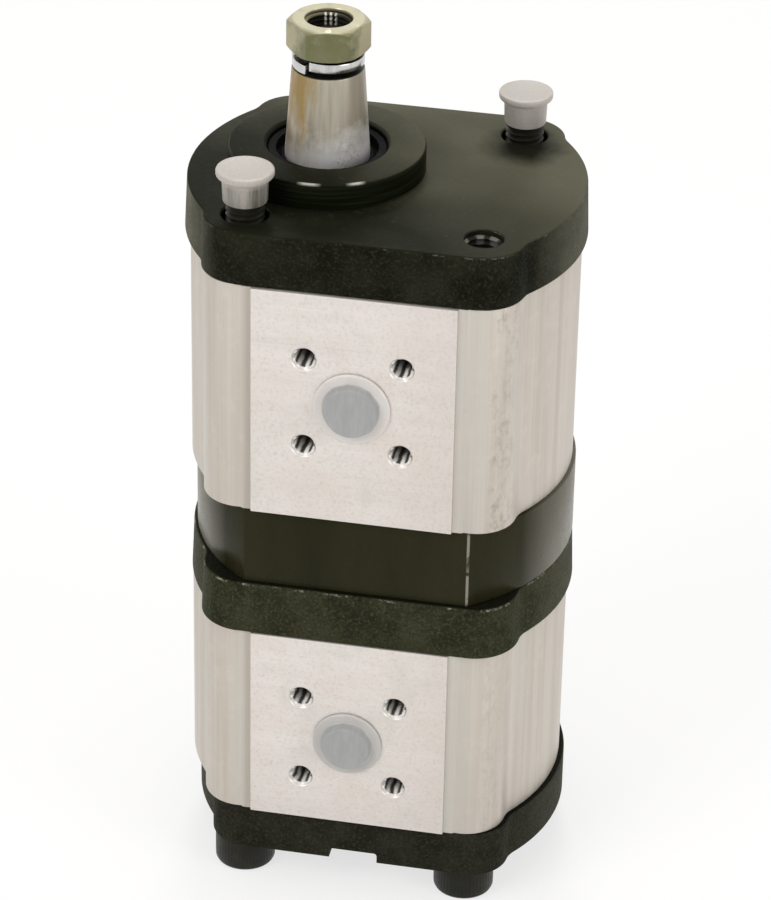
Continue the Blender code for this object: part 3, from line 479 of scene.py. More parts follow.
# the end colour of each cast skin is painted sheen on its round ends
castFinish = {
    "flange": {"dark": (0.0062, 0.0064, 0.0038), "grain": (0.0165, 0.0170, 0.0100),
               "fleck": (0.027, 0.0275, 0.0185), "rub": 0.35, "end": (0.21, 0.205, 0.150)},
    "lower": {"dark": (0.0175, 0.0185, 0.0092), "grain": (0.037, 0.039, 0.0200),
              "fleck": (0.060, 0.062, 0.039), "rub": 0.8, "end": (0.10, 0.098, 0.070)},
    "rear": {"dark": (0.0115, 0.0115, 0.0075), "grain": (0.025, 0.025, 0.0165),
             "fleck": (0.038, 0.038, 0.026), "rub": 0.0, "end": (0.085, 0.083, 0.060)},
}
# the second colour is painted shade for the ledges between the plates
castRub, castLedgeShade = (0.33, 0.325, 0.27), (0.0035, 0.0035, 0.0025)
castGloss, castTint = 0.03, (1.0, 0.98, 0.80)
# where the painted sheen on the round ends begins and is full, about a point a little right of the middle
castSheenEnds = (3.5 * mm, 39.0 * mm, 52.0 * mm)
faceFinish = {
    # the dust colour is the paler face tone: painted sheen, with dust
    "face": (0.0078, 0.0086, 0.0044), "dustAndSheenTone": (0.110, 0.108, 0.072), "edge": (0.40, 0.39, 0.34),
    "pilotSide": (0.0036, 0.0046, 0.0018), "pilotRing": (0.0105, 0.0130, 0.0060),
    # the oil colour is a painted shadow, and the pocket colour painted shade inside the pocket
    "pocket": (0.004, 0.004, 0.003), "paintedShade": (0.0040, 0.0042, 0.0026),
    # a painted shadow on the face in front of the right bolt: where it lies and how far it fades
    "shadowPlace": (31.4 * mm, 22.6 * mm), "shadowReach": (4.8 * mm, 12.5 * mm),
    # glintAt places two painted glints on the pilot's rim, in the edge colour
    "pocketRadius": 15.4 * mm, "rimRadius": 24.55 * mm, "glintAt": (math.radians(-89), math.radians(-61.5)),
}


def makeCastMaterial(name, look, edgeLevel):
    # rough cast skin, rubbed bright in places along the upper edge, and paler on the round ends as painted
    # sheen
    material, tree, shader, where = newMaterial(name, look["dark"], 0.6, 0.0, castGloss, castTint)
    grain = useGroup(tree, castGrain, {"Vector": where, "Size": 1050.0})
    colour = mixColour(tree, ranged(tree, grain["Tone"], 0.36, 0.66), look["dark"], look["grain"])
    shadow = [value * 0.4 for value in look["dark"]]
    colour = mixColour(tree, ranged(tree, grain["Height"], 0.72, 0.38, 0.0, 0.7), colour, shadow)
    colour = mixColour(tree, grain["Fleck"], colour, look["fleck"])
    axes = axesOf(tree, where)
    ends = endsOf(tree, axes, *castSheenEnds)
    # painted sheen towards the round ends
    colour = tinted(tree, colour, look["end"], ends, ranged(tree, grain["Tone"], 0.30, 0.62, 0.38, 0.58))
    wearAndLitBand = both(tree, bandOf(tree, axes["Z"], edgeLevel - 0.36 * mm, 0.16 * mm, 0.14 * mm),
                  ranged(tree, noise(tree, where, 170.0, 3.0, 0.6), 0.53, 0.62),
                  ranged(tree, noise(tree, where, 1500.0, 2.0, 0.6), 0.42, 0.58))
    colour = tinted(tree, colour, castRub, wearAndLitBand, look["rub"])
    roughness = ranged(tree, grain["Height"], 0.4, 1.0, 0.74, 0.50)
    return material, tree, shader, where, grain, colour, roughness


def makeCoverMaterial(name, look, edgeLevel):
    # the ledges that show between the plates are painted black as shade
    material, tree, shader, where, grain, colour, roughness = makeCastMaterial(name, look, edgeLevel)
    level = axesOf(tree, where)["Z"]
    # painted shade on the cover's top, where it shows between the plates
    ledgeShade = ranged(tree, level, edgeLevel - 0.10 * mm, edgeLevel - 0.02 * mm, 0.0, 0.85)
    colour = mixColour(tree, ledgeShade, colour, castLedgeShade)
    dress(tree, shader, colour, roughness, grain["Height"], 1.0, 0.00030)
    return material


def makeFlangeMaterial():
    # cast sides below a turned and milled face; the face grows paler towards the far right corner, as painted
    # sheen with dust on it
    look = faceFinish
    material, tree, shader, where, grain, colour, roughness = makeCastMaterial(
        "frontCasting", castFinish["flange"], mountingFace)
    marks = marksOn(tree, where, 45.0, 0.6)
    axes = axesOf(tree, where)
    pilot = aboutPoint(tree, where)
    face = ranged(tree, axes["Z"], mountingFace - 0.45 * mm, mountingFace - 0.15 * mm)
    # paler towards the far right corner: painted sheen, with dust and handling marks added
    across = maths(tree, "ADD", maths(tree, "MULTIPLY", axes["X"], 0.75), axes["Y"])
    drift = ranged(tree, noise(tree, where, 22.0, 2.0, 0.5), 0.3, 0.7, -0.014, 0.014)
    across = maths(tree, "ADD", across, drift)
    dustAndSheen = ranged(tree, across, -0.026, 0.036, 0.02, 0.80)
    dustAndSheen = maths(tree, "ADD", dustAndSheen, both(tree, marks["Mask"], 0.14))
    dustAndSheen = maths(tree, "ADD", dustAndSheen, ranged(tree, marks["Fine"], 0.60, 0.74, 0.0, 0.10))
    milled = mixColour(tree, dustAndSheen, look["face"], look["dustAndSheenTone"])
    # a painted shadow on the face in front of the right bolt
    shadowPool = aboutPoint(tree, where, look["shadowPlace"])
    uneven = ranged(tree, noise(tree, where, 130.0, 3.0, 0.6), 0.3, 0.7, -1.2 * mm, 1.2 * mm)
    shadowed = ranged(tree, maths(tree, "ADD", shadowPool["Radius"], uneven), *look["shadowReach"], 0.92, 0.0)
    milled = mixColour(tree, shadowed, milled, look["paintedShade"])
    colour = mixColour(tree, face, colour, milled)
    turnedSide = both(tree, ranged(tree, pilot["Radius"], look["rimRadius"], 24.85 * mm),
                      ranged(tree, pilot["Radius"], 25.3 * mm, 25.6 * mm, 1.0, 0.0),
                      ranged(tree, pilot["Height"], mountingFace + 0.1 * mm, mountingFace + 0.5 * mm))
    rings = noise(tree, stretched(tree, where, (40.0, 40.0, 1500.0)), 1.0, 2.0, 0.5)
    turned = mixColour(tree, ranged(tree, rings, 0.46, 0.66), look["pilotSide"], look["pilotRing"])
    colour = mixColour(tree, turnedSide, colour, turned)
    # painted shade over the inside of the pocket
    wall = look["pocketRadius"]
    pocket = both(tree, ranged(tree, pilot["Radius"], wall, wall + 0.4 * mm, 1.0, 0.0), face)
    colour = mixColour(tree, pocket, colour, look["pocket"])
    # painted highlights: two glints on the pilot's top edge, with some metallic shine there
    rim = both(tree, bandOf(tree, pilot["Radius"], look["rimRadius"], 0.16 * mm, 0.22 * mm),
               ranged(tree, pilot["Height"], mountingFace + 6.2 * mm, mountingFace + 6.5 * mm))
    glintSpots = maths(tree, "MAXIMUM", bandOf(tree, pilot["Turn"], look["glintAt"][0], 0.05, 0.08),
                 bandOf(tree, pilot["Turn"], look["glintAt"][1], 0.03, 0.08))
    bright = both(tree, rim, glintSpots)
    colour = mixColour(tree, bright, colour, look["edge"])
    rough = mixValue(tree, face, roughness, ranged(tree, marks["Fine"], 0.3, 0.7, 0.40, 0.54))
    rough = mixValue(tree, turnedSide, rough, 0.34)
    height = both(tree, grain["Height"], ranged(tree, face, 0.0, 1.0, 1.0, 0.07))
    height = mixValue(tree, turnedSide, height, both(tree, rings, 0.12))
    dress(tree, shader, colour, rough, height, 0.9, 0.00022, both(tree, bright, 0.6))
    return material


# the end colour is painted sheen on the round ends; the wear colour is a worn edge and a painted highlight
plateFinish = {"dark": (0.0145, 0.0138, 0.0058), "light": (0.0225, 0.0215, 0.0095),
               "wearAndGlint": (0.24, 0.225, 0.19), "end": (0.28, 0.265, 0.215),
               "ends": (4.0 * mm, 38.0 * mm, 53.0 * mm), "edgeAt": (30.15 * mm, -40.2 * mm)}


def makePlateMaterial():
    # smooth machined and blackened, paler on the round ends as painted sheen, with a bare worn line along its
    # front right corner that also stands for a painted highlight
    look = plateFinish
    material, tree, shader, where = newMaterial("machinedBlack", look["dark"], 0.28, 0.0, 0.08, castTint)
    streaks = streaksOn(tree, where, (90.0, 90.0, 22.0))
    marks = marksOn(tree, where, 50.0, 0.5)
    colour = mixColour(tree, ranged(tree, streaks["Tone"], 0.38, 0.64), look["dark"], look["light"])
    axes = axesOf(tree, where)
    ends = endsOf(tree, axes, *look["ends"])
    # painted sheen towards the round ends
    colour = tinted(tree, colour, look["end"], ends, ranged(tree, streaks["Tone"], 0.35, 0.65, 0.6, 1.0))
    # the front right corner: worn bare metal and a painted highlight
    corner = both(tree, bandOf(tree, axes["X"], look["edgeAt"][0], 0.22 * mm, 0.2 * mm),
                  bandOf(tree, axes["Y"], look["edgeAt"][1], 0.4 * mm, 0.2 * mm),
                  ranged(tree, noise(tree, where, 320.0, 3.0, 0.6), 0.38, 0.58))
    colour = mixColour(tree, corner, colour, look["wearAndGlint"])
    dress(tree, shader, colour, ranged(tree, marks["Fine"], 0.3, 0.7, 0.25, 0.34), streaks["Height"], 0.05,
          0.00006)
    return material


aluminiumFinish = {
    "side": (0.585, 0.535, 0.475), "sideDark": (0.455, 0.410, 0.355),
    "pad": (0.750, 0.705, 0.668), "padDark": (0.665, 0.620, 0.582),
    "cool": (0.545, 0.530, 0.485), "warm": (0.68, 0.60, 0.545), "streakDark": (0.22, 0.175, 0.130),
    "stepShade": (0.36, 0.325, 0.275), "padSoft": (0.60, 0.545, 0.49),
    "handled": (0.38, 0.34, 0.28), "streakAt": 37.4 * mm, "streakDepth": (31.0 * mm, 34.0 * mm),
    "streakHeight": (95.0 * mm, 125.0 * mm),
}


def makeAluminiumMaterial():
    # drawn skin with long streaks; the port pads are milled across
    look = aluminiumFinish
    material, tree, shader, where = newMaterial("drawnAluminium", look["side"], 0.4, 0.5)
    along = streaksOn(tree, where, (1300.0, 1300.0, 14.0))
    across = streaksOn(tree, where, (60.0, 60.0, 1500.0))
    marks = marksOn(tree, where, 55.0, 0.45)
    axes = axesOf(tree, where)
    depth = maths(tree, "ABSOLUTE", axes["Y"])
    pad = ranged(tree, depth, padDepth - 0.5 * mm, padDepth - 0.1 * mm)
    side = mixColour(tree, ranged(tree, along["Tone"], 0.24, 0.62), look["sideDark"], look["side"])
    mottle = noise(tree, where, 190.0, 4.0, 0.7)
    side = mixColour(tree, ranged(tree, mottle, 0.52, 0.66, 0.0, 0.26), side, look["warm"])
    bands = noise(tree, stretched(tree, where, (150.0, 150.0, 5.0)), 1.0, 3.0, 0.6)
    side = mixColour(tree, ranged(tree, bands, 0.50, 0.64, 0.0, 0.7), side, look["cool"])
    side = mixColour(tree, ranged(tree, bands, 0.50, 0.36, 0.0, 0.6), side, look["sideDark"])
    beside = both(tree, ranged(tree, axes["X"], 25.8 * mm, 26.4 * mm),
                  ranged(tree, axes["X"], 34.0 * mm, 30.0 * mm))
    side = tinted(tree, side, look["cool"], beside, 0.45)
    # painted shadow beside the left edge of the pads
    step = both(tree, ranged(tree, axes["X"], -28.6 * mm, -27.4 * mm),
                ranged(tree, axes["X"], -25.9 * mm, -26.1 * mm))
    side = tinted(tree, side, look["stepShade"], step, 0.45)
    milled = mixColour(tree, ranged(tree, across["Tone"], 0.30, 0.68), look["padDark"], look["pad"])
    tint = noise(tree, where, 48.0, 4.0, 0.65)
    milled = mixColour(tree, ranged(tree, tint, 0.50, 0.64, 0.0, 0.55), milled, look["warm"])
    milled = mixColour(tree, ranged(tree, tint, 0.46, 0.34, 0.0, 0.35), milled, look["cool"])
    milled = mixColour(tree, ranged(tree, axes["X"], 6.0 * mm, 25.0 * mm, 0.0, 0.40), milled, look["padSoft"])
    speck = noise(tree, where, 1100.0, 3.0, 0.7)
    milled = mixColour(tree, ranged(tree, speck, 0.50, 0.70, 0.0, 0.38), milled, look["sideDark"])
    colour = mixColour(tree, pad, side, milled)
    colour = tinted(tree, colour, look["handled"], marks["Mask"], 0.22)
    # darker streaks down the side by the right screw lobe
    streakZone = both(tree, bandOf(tree, axes["X"], look["streakAt"], 1.4 * mm, 1.8 * mm),
                   ranged(tree, depth, *look["streakDepth"]),
                   ranged(tree, axes["Z"], *look["streakHeight"], 0.35, 1.0),
                   ranged(tree, noise(tree, where, 70.0, 2.0, 0.5), 0.28, 0.48))
    darkStreaks = ranged(tree, noise(tree, stretched(tree, where, (560.0, 560.0, 330.0)), 1.0, 4.0, 0.7), 0.47, 0.64)
    colour = tinted(tree, colour, look["streakDark"], streakZone, darkStreaks, 0.52)
    rough = mixValue(tree, pad, ranged(tree, along["Tone"], 0.3, 0.7, 0.36, 0.50),
                     ranged(tree, across["Tone"], 0.3, 0.7, 0.36, 0.46))
    lines = mixValue(tree, pad, along["Height"], across["Height"])
    dress(tree, shader, colour, rough, lines, 0.16, 0.00005)
    return material


# the bright and mouth values are painted light in the hole; the dark colour is painted shade deeper down
threadFinish = {
    "port": {"bright": (0.80, 0.77, 0.73), "dark": (0.070, 0.065, 0.057), "streaks": 8.0, "mouth": 0.85,
             "metallic": 0.15},
    "tapped": {"bright": (0.16, 0.16, 0.135), "dark": (0.004, 0.004, 0.003), "streaks": 7.0, "mouth": 0.1,
               "metallic": 0.0},
}


def makeThreadMaterial(name, look, deep, clear, mouth):
    # cut thread: painted highlight streaks and a painted lit band near the mouth, painted shade deeper down
    material, tree, shader, where = newMaterial(name, look["bright"], 0.42, look["metallic"], 0.25)
    own = ownPlace(tree)
    hole = useGroup(tree, aboutAxis, {"Vector": own})
    wobble = ranged(tree, noise(tree, where, 200.0, 2.0, 0.5), 0.3, 0.7, -0.9, 0.9)
    turns = maths(tree, "MULTIPLY", hole["Turn"], look["streaks"])
    wave = maths(tree, "SINE", maths(tree, "ADD", turns, wobble))
    # painted highlight streaks round the hole, fading into painted shade deeper down
    light = both(tree, ranged(tree, wave, -0.55, 0.55), ranged(tree, hole["Height"], deep, clear))
    # a painted lit band at the mouth
    wearAndLitBand = ranged(tree, hole["Height"], mouth - 1.3 * mm, mouth - 0.5 * mm, 0.0, look["mouth"])
    light = maths(tree, "MAXIMUM", light, wearAndLitBand)
    dress(tree, shader, mixColour(tree, light, look["dark"], look["bright"]),
          ranged(tree, light, 0.0, 1.0, 0.6, 0.40))
    return material


plasticFinish = {"colour": (0.455, 0.425, 0.385), "shade": (0.405, 0.375, 0.340),
                 "boltSeen": (0.045, 0.050, 0.028), "rim": (0.63, 0.60, 0.57),
                 "rimGrey": (0.455, 0.445, 0.43), "hollow": (0.355, 0.360, 0.360),
                 "hollowShade": (0.305, 0.310, 0.310)}


def makePlasticMaterial(name):
    look = plasticFinish
    material, tree, shader, where = newMaterial(name, look["colour"], 0.42, 0.0, 0.4)
    marks = marksOn(tree, where, 180.0, 0.6)
    shader.inputs["Subsurface Weight"].default_value = 0.20
    shader.inputs["Subsurface Radius"].default_value = (0.004, 0.0035, 0.003)
    shader.inputs["Subsurface Scale"].default_value = 0.5
    return material, tree, shader, where, marks


def makeCapMaterial():
    # soft and half clear: the dark bolt end shows through the side, more so in the left cap
    look = plasticFinish
    material, tree, shader, where, marks = makePlasticMaterial("milkyCap")
    colour = mixColour(tree, ranged(tree, marks["Fine"], 0.35, 0.68), look["colour"], look["shade"])
    colour = tinted(tree, colour, look["shade"], marks["Mask"], 0.35)
    own = ownPlace(tree)
    axes = axesOf(tree, where)
    below = ranged(tree, axes["Z"], capTop - 1.9 * mm, capTop - 3.8 * mm)
    ribs = noise(tree, stretched(tree, own, (420.0, 420.0, 25.0)), 1.0, 3.0, 0.6)
    strength = ranged(tree, axes["X"], -1.0 * mm, 1.0 * mm, 1.0, 0.25)
    sidewise = axesOf(tree, own)["X"]
    seen = both(tree, below, ranged(tree, ribs, 0.34, 0.62, 0.25, 1.0), strength,
                ranged(tree, sidewise, -3.5 * mm, 2.0 * mm, 0.55, 1.0))
    colour = mixColour(tree, seen, colour, look["boltSeen"])
    dress(tree, shader, colour, ranged(tree, marks["Fine"], 0.3, 0.7, 0.38, 0.48), marks["Fine"], 0.04,
          0.0001)
    return material


def makePlugMaterial():
    # thin plastic: the dark bore shows through its middle, the pale pad through its rim
    look = plasticFinish
    material, tree, shader, where, marks = makePlasticMaterial("milkyPlug")
    own = ownPlace(tree)
    disc = useGroup(tree, aboutAxis, {"Vector": own})
    brushed = noise(tree, stretched(tree, own, (7.0, 1.6, 1.0)), 1.0, 3.0, 0.6)
    middle = mixColour(tree, ranged(tree, brushed, 0.30, 0.70), look["hollowShade"], look["hollow"])
    lowStage = ranged(tree, axesOf(tree, where)["Z"], 100.0 * mm, 98.0 * mm, 0.0, 0.85)
    rim = mixColour(tree, lowStage, look["rim"], look["rimGrey"])
    rim = mixColour(tree, ranged(tree, marks["Mask"], 0.0, 1.0, 0.0, 0.3), rim, look["shade"])
    uneven = ranged(tree, noise(tree, own, 1.4, 2.0, 0.5), 0.3, 0.7, -0.02, 0.02)
    ring = maths(tree, "ADD", disc["Radius"], uneven)
    colour = mixColour(tree, ranged(tree, ring, 0.95, 1.01), middle, rim)
    dress(tree, shader, colour, ranged(tree, marks["Fine"], 0.3, 0.7, 0.34, 0.44), marks["Fine"], 0.03,
          0.0001)
    return material


# the green colour is greener zinc darkened as painted shade on the front flats; the oil colour is painted
# shade under and inside the nut
zincFinish = {"green": (0.140, 0.145, 0.058), "yellow": (0.375, 0.340, 0.205), "violet": (0.27, 0.225, 0.175),
              "top": (0.44, 0.410, 0.280), "paintedShade": (0.010, 0.009, 0.005), "glint": (0.62, 0.60, 0.52),
              "boreRadius": 6.1 * mm}


def makeZincMaterial():
    # yellow zinc, greener on the front flats and darker there as painted shade, painted black as shade below
    # and inside
    look = zincFinish
    material, tree, shader, where = newMaterial("yellowZinc", look["yellow"], 0.34, 0.5)
    marks = marksOn(tree, where, 130.0, 0.9)
    place = aboutPoint(tree, where)
    axes = axesOf(tree, where)
    uneven = ranged(tree, noise(tree, where, 170.0, 3.0, 0.55), 0.3, 0.7, -0.004, 0.004)
    # greener and darker towards the front flats: painted shade on a greener tone
    frontShade = maths(tree, "ADD", axes["Y"], uneven)
    colour = mixColour(tree, ranged(tree, frontShade, -8.5 * mm, -4.0 * mm), look["green"], look["yellow"])
    colour = tinted(tree, colour, look["violet"], marks["Mask"], 0.5)
    upper = ranged(tree, place["Height"], nutHigh - 0.5 * mm, nutHigh - 0.1 * mm, 0.0, 0.85)
    colour = mixColour(tree, upper, colour, look["top"])
    # painted shade under the nut and down inside its bore
    under = ranged(tree, place["Height"], nutLow + 0.25 * mm, nutLow + 0.10 * mm)
    inside = both(tree, ranged(tree, place["Radius"], look["boreRadius"] + 0.15 * mm, look["boreRadius"]),
                  ranged(tree, place["Height"], nutHigh - 0.3 * mm, nutHigh - 0.9 * mm))
    dark = maths(tree, "MAXIMUM", under, inside)
    colour = mixColour(tree, dark, colour, look["paintedShade"])
    dress(tree, shader, colour, ranged(tree, marks["Fine"], 0.3, 0.7, 0.28, 0.42), marks["Fine"], 0.12,
          0.00008, ranged(tree, dark, 0.0, 1.0, 0.5, 0.0))
    return material


def makeNutThreadMaterial():
    # zinc at the mouth, painted dark as shade further down, with a few glints on the far wall
    look = zincFinish
    material, tree, shader, where = newMaterial("nutThread", look["paintedShade"], 0.4, 0.2, 0.2)
    place = aboutPoint(tree, where)
    # painted shade below the mouth
    mouth = ranged(tree, place["Height"], nutHigh - 1.6 * mm, nutHigh - 0.9 * mm)
    colour = mixColour(tree, mouth, look["paintedShade"], look["yellow"])
    wave = maths(tree, "SINE", maths(tree, "MULTIPLY", place["Turn"], 27.0))
    glint = both(tree, bandOf(tree, place["Turn"], 1.72, 0.22, 0.14), ranged(tree, wave, -0.2, 0.6),
                 ranged(tree, place["Height"], nutHigh - 5.5 * mm, nutHigh - 3.5 * mm))
    colour = mixColour(tree, glint, colour, look["glint"])
    dress(tree, shader, colour, ranged(tree, glint, 0.0, 1.0, 0.5, 0.3))
    return material


# the cool colour is painted light low on the cone; the oil colour is painted shade on the thread
shaftFinish = {"light": (0.44, 0.410, 0.340), "dark": (0.300, 0.270, 0.200), "rust": (0.285, 0.180, 0.042),
               "cool": (0.80, 0.785, 0.780), "pit": (0.06, 0.055, 0.05), "shade": (0.225, 0.195, 0.140),
               "paintedShade": (0.006, 0.006, 0.005), "stainAt": -2.36, "shadeAt": -0.45,
               "base": 10.8 * mm, "journal": 11.0 * mm, "coneRise": 4.8 * mm, "coneLength": 23.5 * mm,
               "taper": 1 / 7.4, "threadRadius": 5.85 * mm, "threadPitch": 1.25 * mm}


def makeConeMaterial():
    # ground cone: soft bands along it, paler and cooler low down as painted light, a rust stain on the left,
    # pits low on the right, painted shade on the thread
    look = shaftFinish
    coneLow = mountingFace + look["coneRise"]
    coneHigh = coneLow + look["coneLength"]
    material, tree, shader, where = newMaterial("groundCone", look["light"], 0.36, 0.45)
    marks = marksOn(tree, where, 90.0, 0.6)
    place = aboutPoint(tree, where)
    bands = noise(tree, stretched(tree, where, (330.0, 330.0, 9.0)), 1.0, 3.0, 0.55)
    colour = mixColour(tree, ranged(tree, bands, 0.36, 0.62), look["dark"], look["light"])
    shaded = bandOf(tree, place["Turn"], look["shadeAt"], 0.30, 0.45)
    colour = tinted(tree, colour, look["shade"], shaded, 0.65)
    # paler and cooler low on the cone: painted light
    edge = ranged(tree, noise(tree, where, 160.0, 3.0, 0.6), 0.3, 0.7, -0.003, 0.003)
    low = ranged(tree, maths(tree, "ADD", place["Height"], edge), coneLow + 11 * mm, coneLow + 2 * mm)
    colour = tinted(tree, colour, look["cool"], low, 0.85)
    streak = noise(tree, stretched(tree, where, (230.0, 230.0, 70.0)), 1.0, 4.0, 0.6)
    side = maths(tree, "ADD", place["Turn"], ranged(tree, streak, 0.3, 0.7, -0.35, 0.35))
    rust = both(tree, bandOf(tree, side, look["stainAt"], 0.38, 0.35),
                ranged(tree, streak, 0.30, 0.50, 0.35, 1.0), ranged(tree, low, 0.0, 1.0, 1.0, 0.35))
    colour = tinted(tree, colour, look["rust"], rust, 0.85)
    pitted = both(tree, bandOf(tree, place["Turn"], -0.85, 0.25, 0.25), low,
                  ranged(tree, noise(tree, where, 1700.0, 2.0, 0.6), 0.52, 0.66))
    colour = tinted(tree, colour, look["pit"], pitted, 0.40)
    # painted shade on the thread above the cone, under the washer and nut
    shadedThread = ranged(tree, place["Height"], coneHigh - 0.20 * mm, coneHigh - 0.05 * mm)
    colour = mixColour(tree, shadedThread, colour, look["paintedShade"])
    dress(tree, shader, colour, ranged(tree, marks["Fine"], 0.3, 0.7, 0.30, 0.42), bands, 0.05, 0.00004,
          ranged(tree, shadedThread, 0.0, 1.0, 0.45, 0.0))
    return material


def makeSteelMaterial(name, light, dark, roughness, metallic=0.9, stretch=(30.0, 30.0, 3200.0), stain=None,
                      gloss=0.5):
    # turned or ground metal: fine lines, and oily stains
    material, tree, shader, where = newMaterial(name, light, roughness, metallic, gloss)
    lines = streaksOn(tree, where, stretch)
    marks = marksOn(tree, where, 90.0, 0.6)
    colour = mixColour(tree, ranged(tree, lines["Tone"], 0.36, 0.64), dark, light)
    if stain:
        colour = tinted(tree, colour, stain, marks["Mask"], 0.75)
    dress(tree, shader, colour, ranged(tree, marks["Fine"], 0.3, 0.7, roughness - 0.05, roughness + 0.08),
          lines["Height"], 0.10, 0.00004)
    return material


def makeRubberMaterial():
    material, tree, shader, where = newMaterial("blackRubber", (0.005, 0.005, 0.005), 0.7, 0.0, 0.04)
    marks = marksOn(tree, where, 150.0, 0.8)
    colour = mixColour(tree, marks["Mask"], (0.004, 0.004, 0.004), (0.014, 0.013, 0.012))
    dress(tree, shader, colour, ranged(tree, marks["Fine"], 0.3, 0.7, 0.62, 0.78), marks["Fine"], 0.2, 0.0001)
    return material


portThreadDepth = 13.0 * mm
flangeMaterial = makeFlangeMaterial()
lowerMaterial = makeCoverMaterial("lowerCasting", castFinish["lower"], levels["lower_front_cover"][1])
rearMaterial = makeCoverMaterial("rearCasting", castFinish["rear"], levels["rear_cover"][1])
plateMaterial = makePlateMaterial()
aluminiumMaterial = makeAluminiumMaterial()
portThreadMaterial = makeThreadMaterial("cutThread", threadFinish["port"], portThreadDepth - 10.0 * mm,
                                        portThreadDepth - 5.0 * mm, portThreadDepth)
tappedThreadMaterial = makeThreadMaterial("tappedThread", threadFinish["tapped"], 1.5 * mm, 4.0 * mm,
                                          6.6 * mm)
capMaterial = makeCapMaterial()
plugMaterial = makePlugMaterial()
zincMaterial = makeZincMaterial()
coneMaterial = makeConeMaterial()
gearMaterial = makeSteelMaterial("groundSteel", (0.46, 0.43, 0.39), (0.33, 0.31, 0.28), 0.30)
springMaterial = makeSteelMaterial("springSteel", (0.66, 0.66, 0.65), (0.44, 0.44, 0.43), 0.20, 1.0,
                                   (420.0, 420.0, 60.0))
blackSteelMaterial = makeSteelMaterial("blackSteel", (0.016, 0.0155, 0.0095), (0.007, 0.007, 0.0045), 0.36,
                                       0.0, (220.0, 220.0, 220.0), (0.036, 0.033, 0.022), 0.16)
ringMaterial = makeSteelMaterial("springBlack", (0.006, 0.006, 0.005), (0.003, 0.003, 0.003), 0.60, 0.0,
                                 (220.0, 220.0, 220.0), (0.010, 0.010, 0.008), 0.04)
nutThreadMaterial = makeNutThreadMaterial()
bronzeMaterial = makeSteelMaterial("bearingBronze", (0.52, 0.36, 0.18), (0.38, 0.25, 0.12), 0.34)
blockMaterial = makeSteelMaterial("blockAluminium", (0.60, 0.59, 0.56), (0.48, 0.47, 0.44), 0.36, 0.8)
rubberMaterial = makeRubberMaterial()
print("materials ready")


cameraView = {"turn": 10.64, "tilt": 30.18, "roll": 1.13, "distance": 1.0535, "lens": 160.6,
              "sideStep": 0.0008, "aimHeight": 0.1139}


def addCamera():
    turn, tilt, roll = (math.radians(cameraView[key]) for key in ("turn", "tilt", "roll"))
    back = Vector((math.sin(turn) * math.cos(tilt), -math.cos(turn) * math.cos(tilt), math.sin(tilt)))
    across = Vector((math.cos(turn), math.sin(turn), 0))
    up = back.cross(across)
    right = across * math.cos(roll) + up * math.sin(roll)
    rise = up * math.cos(roll) - across * math.sin(roll)
    aim = Vector((0, 0, cameraView["aimHeight"])) + across * cameraView["sideStep"]
    bpy.ops.object.camera_add()
    camera = bpy.context.active_object
    camera.name = "viewCamera"
    place = aim + back * cameraView["distance"]
    camera.matrix_world = Matrix((
        (right.x, rise.x, back.x, place.x), (right.y, rise.y, back.y, place.y),
        (right.z, rise.z, back.z, place.z), (0, 0, 0, 1)))
    camera.data.lens = cameraView["lens"]
    camera.data.sensor_width = 36
    camera.data.clip_start = 0.01
    camera.data.clip_end = 50
    bpy.context.scene.camera = camera


studioTones = {"sky": (1.0, 0.985, 0.965, 1), "skyStrength": 0.55, "floor": (0.90, 0.895, 0.885, 1),
               "floorGlow": 0.70}
white = (1, 1, 1, 1)
studioLamps = {
    # place, size, strength in watts
    "keyPanel": ((-0.75, -1.00, 1.05), 0.70, 9.0),
    "sidePanel": ((1.15, -0.55, 0.55), 0.60, 5.0),
    "backPanel": ((-0.14, 0.80, 1.22), 0.28, 5.0),
    "topPanel": ((0.0, 0.05, 1.35), 0.70, 2.6),
}


def addLamps():
    for name, (place, size, power) in studioLamps.items():
        bpy.ops.object.light_add(type="AREA", location=place)
        lamp = bpy.context.active_object
        lamp.name = name
        lamp.data.shape = "SQUARE"
        lamp.data.size = size
        lamp.data.energy = power
        lamp.rotation_euler = (Vector((0, 0, 0.12)) - Vector(place)).to_track_quat("-Z", "Y").to_euler()


def seenDirectly(tree):
    # 1 for the camera, and for what is mirrored in metal or seen through glass
    rays = tree.nodes.new("ShaderNodeLightPath").outputs
    seen = maths(tree, "MAXIMUM", rays["Is Camera Ray"], rays["Is Glossy Ray"])
    return maths(tree, "MAXIMUM", seen, rays["Is Transmission Ray"])


def addWorld():
    world = bpy.data.worlds.new("studioWorld")
    bpy.context.scene.world = world
    world.use_nodes = True
    tree = world.node_tree
    sky = tree.nodes["Background"]
    sky.inputs["Color"].default_value = studioTones["sky"]
    sky.inputs["Strength"].default_value = studioTones["skyStrength"]
    backdrop = addNode(tree, "Background", {"Color": white, "Strength": 1.0})
    mixed = addNode(tree, "MixShader", {0: seenDirectly(tree), 1: sky.outputs[0], 2: backdrop.outputs[0]})
    tree.links.new(mixed.outputs[0], tree.nodes["World Output"].inputs["Surface"])


